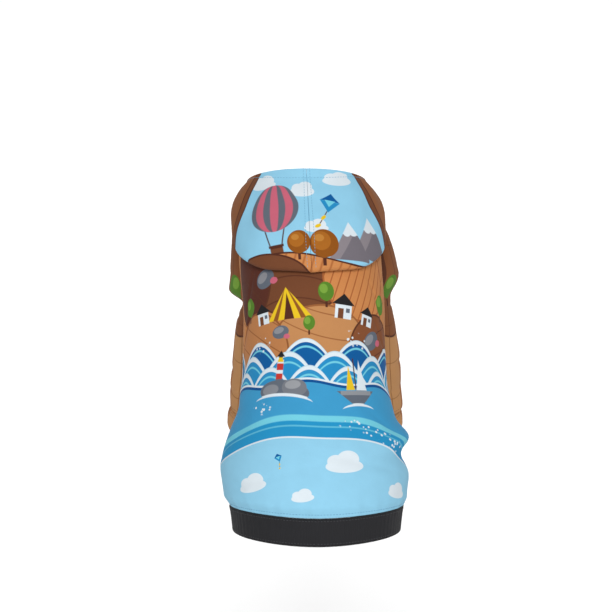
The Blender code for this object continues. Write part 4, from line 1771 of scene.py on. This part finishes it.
@dataclass
class Sleeve:
    """One sleeve with its cuff, set into the armhole."""

    shape: SleeveShape
    cloth: float = 0.0022
    cuff_cloth: float = 0.0030
    seam_gap: float = 0.0003
    girth_radius: float = 0.038
    cut_width: float = 0.235
    cuff_cut_width: float = 0.196
    stitch_drops: tuple[float, float] = (0.984, 0.16)
    cut_share: float = 0.70
    columns: int = 120
    rows: int = 150
    cuff_rows: int = 20

    def name(self) -> str:
        """The side's name."""
        return self.shape.side.name.lower()

    def tube(self, name: str, point: Callable[[Grid, Grid, Grid], Grid], rows: int, length: float,
             cloth: float, start: float) -> bpy.types.Object:
        """Make a tube of cloth with round ends.

        Args:
            name: Name of the piece.
            point: Gives the points at angles, drops and lifts.
            rows: Even steps along it.
            length: Its length.
            cloth: Its thickness.
            start: Where its flat coordinates begin, down the sleeve.

        Returns:
            The tube.
        """
        angle = full_turn(self.columns)
        along = edge_steps(rows, length, cloth)
        half = 0.5 * cloth * thinned(along, length, cloth)[:, None]
        outer = point(angle, along[:, None], half - 0.5 * cloth)
        inner = point(angle, along[:, None], -half - 0.5 * cloth)
        round_it = np.linspace(0.0, 2.0 * math.pi, self.columns + 1) * self.girth_radius
        flat = flat_grid(round_it[None, :], -start - along[:, None] * length)
        return ClothMesh.wall(name, outer, inner, flat, True)

    def stitches(self) -> bpy.types.Object:
        """Sew a row on each side of the cuff's seam.

        Returns:
            One object with both rows.
        """
        turns = np.linspace(0.0, 2.0 * math.pi, 200)
        rows = []
        for point, drop in zip((self.shape.point, self.shape.cuff_point), self.stitch_drops):
            drops = np.full_like(turns, drop)
            path = point(turns, drops, np.zeros_like(turns))
            rows.append((path, unit(point(turns, drops, np.full_like(turns, 0.001)) - path)))
        return trim(Seam().stitches("cuff_stitches_" + self.name(), rows, WOOD_THREAD))

    def make(self, trunk: Trunk, hollow: bpy.types.Object, finish: PrintedCloth,
             reverse: PrintedCloth) -> None:
        """Build the sleeve and its cuff and cut the armhole.

        Args:
            trunk: The body that carries it.
            hollow: The space inside the body.
            finish: The face of the cloth.
            reverse: Its unprinted reverse.
        """
        name = self.name()
        shape = self.shape
        sleeve = self.tube("sleeve_" + name, shape.point, self.rows, shape.length, self.cloth, 0.0)
        clothe(sleeve, finish.material(), reverse.material())
        ClothMesh.cut(sleeve, hollow)
        angle = full_turn(self.columns)
        drops = np.linspace(0.0, 1.0, self.rows)[:, None]
        armhole = ClothMesh.core("armhole_" + name, shape.point(angle, drops, self.seam_gap))
        ClothMesh.flip_if_inside_out(armhole)
        for panel in trunk.panels.values():
            ClothMesh.cut(panel, armhole)
        bpy.data.objects.remove(armhole)
        cuff = self.tube("cuff_" + name, shape.cuff_point, self.cuff_rows, shape.cuff_height,
                         self.cuff_cloth, shape.length)
        clothe(cuff, finish.material(), reverse.material())
        dress(sleeve, "sleeve_" + name)
        dress(cuff, "cuff_" + name)
        self.stitches()

    def armhole_line(self, body: BodyShape) -> tuple[Grid, Grid]:
        """The line where the sleeve leaves the body, with the directions that stand on it.

        Args:
            body: The body's shape.

        Returns:
            The points and the directions.
        """
        angles = np.linspace(0.0, 2.0 * math.pi, 241)
        drops = np.linspace(0.0, 0.9, 700)
        points = self.shape.point(angles[None, :], drops[:, None], np.zeros((1, 1)))
        inside = body.holds(points)
        last = np.where(inside.any(axis=0), len(drops) - 1 - inside[::-1].argmax(axis=0), 0)
        line = points[last, np.arange(len(angles))]
        away = unit(line - self.shape.middle(drops[last]))
        return line, away


@dataclass
class Hood:
    """The two halves of the hood, laid down on the upper back."""

    shape: BodyShape = BODY
    drop: float = 0.116
    loft: float = 0.0150
    fold_swell: float = 0.84
    rim_rise: float = 0.003
    seat_gap: float = 0.0013
    seam_gap: float = 0.0003
    middle_gap: float = 0.00006
    side_round: float = 0.3
    neck_radius: float = 0.070
    girth_radius: float = 0.078
    cut_size: tuple[float, float] = (0.20, 0.26)
    cut_share: float = 0.62
    hem_stitch: float = 0.012
    middle_stitch_deg: float = 2.4
    columns: int = 130
    under_rows: int = 60
    fold_rows: int = 18
    outer_rows: int = 100
    creases: dict[Side, tuple[tuple[float, ...], ...]] = field(default_factory=lambda: {
        Side.RIGHT: (
            (26.0, 0.30, 8.0, 0.16, -0.0011, 0.0), (48.0, 0.55, 7.0, 0.30, -0.0016, 10.0),
            (14.0, 0.78, 10.0, 0.10, -0.0008, -30.0), (36.0, 0.50, 9.0, 0.30, 0.0010, 8.0),
            (66.0, 0.60, 6.0, 0.30, -0.0010, 6.0),
        ),
        Side.LEFT: (
            (22.0, 0.36, 8.0, 0.18, -0.0010, 0.0), (44.0, 0.50, 7.0, 0.28, -0.0015, -8.0),
            (30.0, 0.84, 12.0, 0.09, -0.0009, 24.0), (34.0, 0.46, 9.0, 0.28, 0.0010, -6.0),
            (64.0, 0.62, 6.0, 0.30, -0.0010, -6.0),
        ),
    })

    def crease(self, side: Side, degrees: Grid, climb: Grid) -> Grid:
        """How far soft creases lift the outer layer, from the fold at 0 to the rim at 1.

        Args:
            side: The half's side.
            degrees: Angles from the spine.
            climb: Shares of the way from the fold to the rim.

        Returns:
            The lifts.
        """
        lift = np.zeros(np.broadcast(degrees, climb).shape)
        for around, up, across, along, height, slant in self.creases[side]:
            turn = (degrees - around - slant * (climb - up)) / across
            rise = (climb - up) / along
            lift += height * np.exp(-turn * turn - rise * rise)
        return lift * np.sin(math.pi * climb) ** 0.5

    def reaches(self) -> list[Curve]:
        """How far the hood hangs and how full it is, by the angle from the spine.

        Returns:
            The two curves.
        """
        return columns((
            (0.0, 1.00 * self.drop, 1.00 * self.loft),
            (30.0, 0.95 * self.drop, 1.00 * self.loft),
            (55.0, 0.78 * self.drop, 0.98 * self.loft),
            (72.0, 0.50 * self.drop, 0.84 * self.loft),
            (82.0, 0.24 * self.drop, 0.66 * self.loft),
            (90.0, 0.105 * self.drop, 0.48 * self.loft),
            (110.0, 0.095 * self.drop, 0.38 * self.loft),
            (180.0, 0.120 * self.drop, 0.40 * self.loft),
        ))

    def profile(self, side: Side, degrees: Grid) -> tuple[Grid, Grid, Grid]:
        """Middle line of the cloth, seam to rim.

        Args:
            side: The half's side.
            degrees: Angles from the spine.

        Returns:
            Distances down, lifts and lengths from the rim, rows by columns.
        """
        drop, loft = (curve(degrees) for curve in self.reaches())
        swell = Curve((0.0, 0.30, 0.65, 1.0), (self.fold_swell, 1.00, 0.94, 0.84))
        cloth = self.shape.cloth
        seat = self.seat_gap + 0.5 * cloth
        radius = 0.5 * (self.fold_swell * loft - cloth)
        fold = drop - radius - 0.5 * cloth
        share = np.linspace(0.0, 1.0, self.under_rows, endpoint=False)[:, None]
        share = np.concatenate([[[0.0], [0.0006], [0.002], [0.006]], share[1:]])
        downs = [self.seam_gap + share * (fold - self.seam_gap)]
        lifts = [seat + 0.0 * downs[0]]
        turn = np.linspace(0.0, math.pi, self.fold_rows + 1)[:, None]
        downs.append(fold + radius * np.sin(turn))
        lifts.append(seat + radius * (1.0 - np.cos(turn)))
        climb = np.linspace(0.0, 1.0, self.outer_rows + 1)[1:-1, None]
        climb = np.concatenate([climb, [[0.994], [0.998], [0.9994], [1.0]]])
        downs.append(fold - climb * (fold + self.rim_rise))
        lifts.append(seat + swell(climb) * loft - cloth + self.crease(side, degrees, climb))
        down, lift = np.concatenate(downs), np.concatenate(lifts)
        steps = np.hypot(np.diff(down, axis=0), np.diff(lift, axis=0))
        far = np.concatenate([np.zeros((1, down.shape[1])), np.cumsum(steps, axis=0)])
        return down, lift, far[-1] - far

    def stitches(self, side: Side, degrees: Grid, down: Grid, lift: Grid, far: Grid) -> bpy.types.Object:
        """Sew the rim's hem and the edge of the middle seam.

        Args:
            side: The half's side.
            degrees: Angles of the columns.
            down: Distances down the back.
            lift: Lifts off the back.
            far: Lengths from the rim.

        Returns:
            The rows of stitches.
        """
        rim_row = int(np.argmin(np.abs(far[:, 0] - self.hem_stitch)))
        column = int(np.argmin(np.abs(degrees - self.middle_stitch_deg)))
        first = self.under_rows + self.fold_rows
        beside = np.full(len(down) - first, side.value * math.radians(degrees[column]))
        spots = [
            (side.value * np.radians(degrees), down[rim_row], lift[rim_row]),
            (beside, down[first:, column], lift[first:, column]),
        ]
        rows = []
        for angle, drop, height in spots:
            place = self.shape.place_at(angle, drop)
            rows.append((
                self.shape.point(angle, place, height + 0.5 * self.shape.cloth),
                self.shape.normal(angle, place),
            ))
        return trim(Seam().stitches("hood_stitches_" + side.name.lower(), rows, SKY_THREAD))

    def make(self, finish: PrintedCloth, reverse: PrintedCloth) -> None:
        """Build and dress both halves.

        Args:
            finish: The face of the cloth.
            reverse: Its unprinted reverse.
        """
        gap = math.degrees(self.middle_gap / self.shape.neck[0])
        cloth = self.shape.cloth
        width = math.pi * self.neck_radius
        across = edge_steps(self.columns, width, cloth)
        degrees = gap + across * (180.0 - 2.0 * gap)
        for side in Side:
            down, lift, far = self.profile(side, degrees[None, :])
            run = unit(np.stack([np.gradient(down, axis=0), np.gradient(lift, axis=0)], axis=-1))
            half = 0.5 * cloth * thinned(across, width, self.side_round * cloth)[None, :]
            half = half * rounded(np.minimum(far, far[0] - far), cloth)
            angle = np.broadcast_to(side.value * np.radians(degrees)[None, :], down.shape)
            faces = []
            for sign in (1.0, -1.0):
                moved_down = down + sign * half * run[..., 1]
                moved_lift = lift - sign * half * run[..., 0]
                faces.append(self.shape.point(angle, self.shape.place_at(angle, moved_down), moved_lift))
            flat = np.stack([angle * self.girth_radius, -far], axis=-1)
            name = "hood_" + side.name.lower()
            half_hood = ClothMesh.wall(name, faces[0], faces[1], flat, False)
            clothe(half_hood, finish.material(), reverse.material())
            dress(half_hood, name)
            sewn = [self.stitches(side, degrees, down, lift, far)]


@dataclass
class Studio:
    """Pale floor, soft lights and the camera."""

    aim: Point = (-0.0025, -0.0684, -0.0842)
    distance: float = 3.5
    elevation_deg: float = 18.0
    view_width: float = 0.661
    floor_height: float = -0.95
    world_strength: float = 0.45

    def camera(self) -> None:
        """Add the camera at the photograph's angle."""
        data = bpy.data.cameras.new("camera")
        data.sensor_width = 36.0
        data.lens = 36.0 * self.distance / self.view_width
        data.clip_end = 60.0
        thing = in_scene("camera", data)
        lift = math.radians(self.elevation_deg)
        back = Vector((0.0, -math.cos(lift), math.sin(lift)))
        thing.location = Vector(self.aim) + back * self.distance
        thing.rotation_mode = "QUATERNION"
        thing.rotation_quaternion = (-back).to_track_quat("-Z", "Y")
        bpy.context.scene.camera = thing

    def floor(self) -> None:
        """Add the floor."""
        mesh = bpy.data.meshes.new("floor")
        reach, z = 14.0, self.floor_height
        corners = [(-reach, -reach, z), (reach, -reach, z), (reach, reach, z), (-reach, reach, z)]
        mesh.from_pydata(corners, [], [(0, 1, 2, 3)])
        thing = in_scene("floor", mesh)
        material, _, shader = new_material("pale_floor")
        shader.inputs["Base Color"].default_value = (0.94, 0.94, 0.94, 1.0)
        shader.inputs["Roughness"].default_value = 0.9
        mesh.materials.append(material)

    def light(self, name: str, place: Point, size: float, power: float, aim: Point) -> None:
        """Add a soft light.

        Args:
            name: Its name.
            place: Where it stands.
            size: Side of its square, in metres.
            power: Its power, in watts.
            aim: What it looks at.
        """
        data = bpy.data.lights.new(name, "AREA")
        data.size = size
        data.energy = power
        thing = in_scene(name, data)
        thing.location = Vector(place)
        thing.rotation_mode = "QUATERNION"
        thing.rotation_quaternion = (Vector(aim) - Vector(place)).to_track_quat("-Z", "Y")

    def make(self) -> None:
        """Set up the studio."""
        self.camera()
        self.floor()
        self.light("key_light", (0.0, -2.9, 1.6), 0.8, 72.0, self.aim)
        self.light("fill_light", (1.6, -2.2, 1.0), 1.6, 4.0, self.aim)
        self.light("back_light", (0.3, 2.4, 1.9), 2.0, 8.0, self.aim)
        self.light("floor_light", (0.0, 3.6, 0.9), 5.0, 92.0, (0.0, 3.6, self.floor_height))
        world = bpy.data.worlds.new("studio")
        world.use_nodes = True
        sky = world.node_tree.nodes["Background"]
        sky.inputs[0].default_value = (1.0, 1.0, 1.0, 1.0)
        sky.inputs[1].default_value = self.world_strength
        bpy.context.scene.world = world
        bpy.context.scene.view_settings.view_transform = "Standard"


def main() -> None:
    """Build the hoodie's looks, piece by piece."""
    logging.basicConfig(level=logging.INFO, format="%(message)s")
    Studio().make()
    reverse = PrintedCloth("jersey_reverse", srgb(224, 232, 238))
    trunk = Trunk()
    trunk.make(BodyPrint("printed_body_cloth", ORANGE), reverse)
    hollow = trunk.hollow()
    ClothMesh.flip_if_inside_out(hollow)
    sleeve_cloth = SleevePrint("printed_sleeve_cloth", srgb(142, 88, 54))
    sleeves = [Sleeve(SleeveShape(side)) for side in Side]
    for sleeve in sleeves:
        sleeve.make(trunk, hollow, sleeve_cloth, reverse)
    bpy.data.objects.remove(hollow)
    trunk.finish(sleeves)
    HemBand().make(RibCloth())
    Hood().make(HoodPrint("printed_hood_cloth", SKY), reverse)


if __name__ == "__main__":
    main()
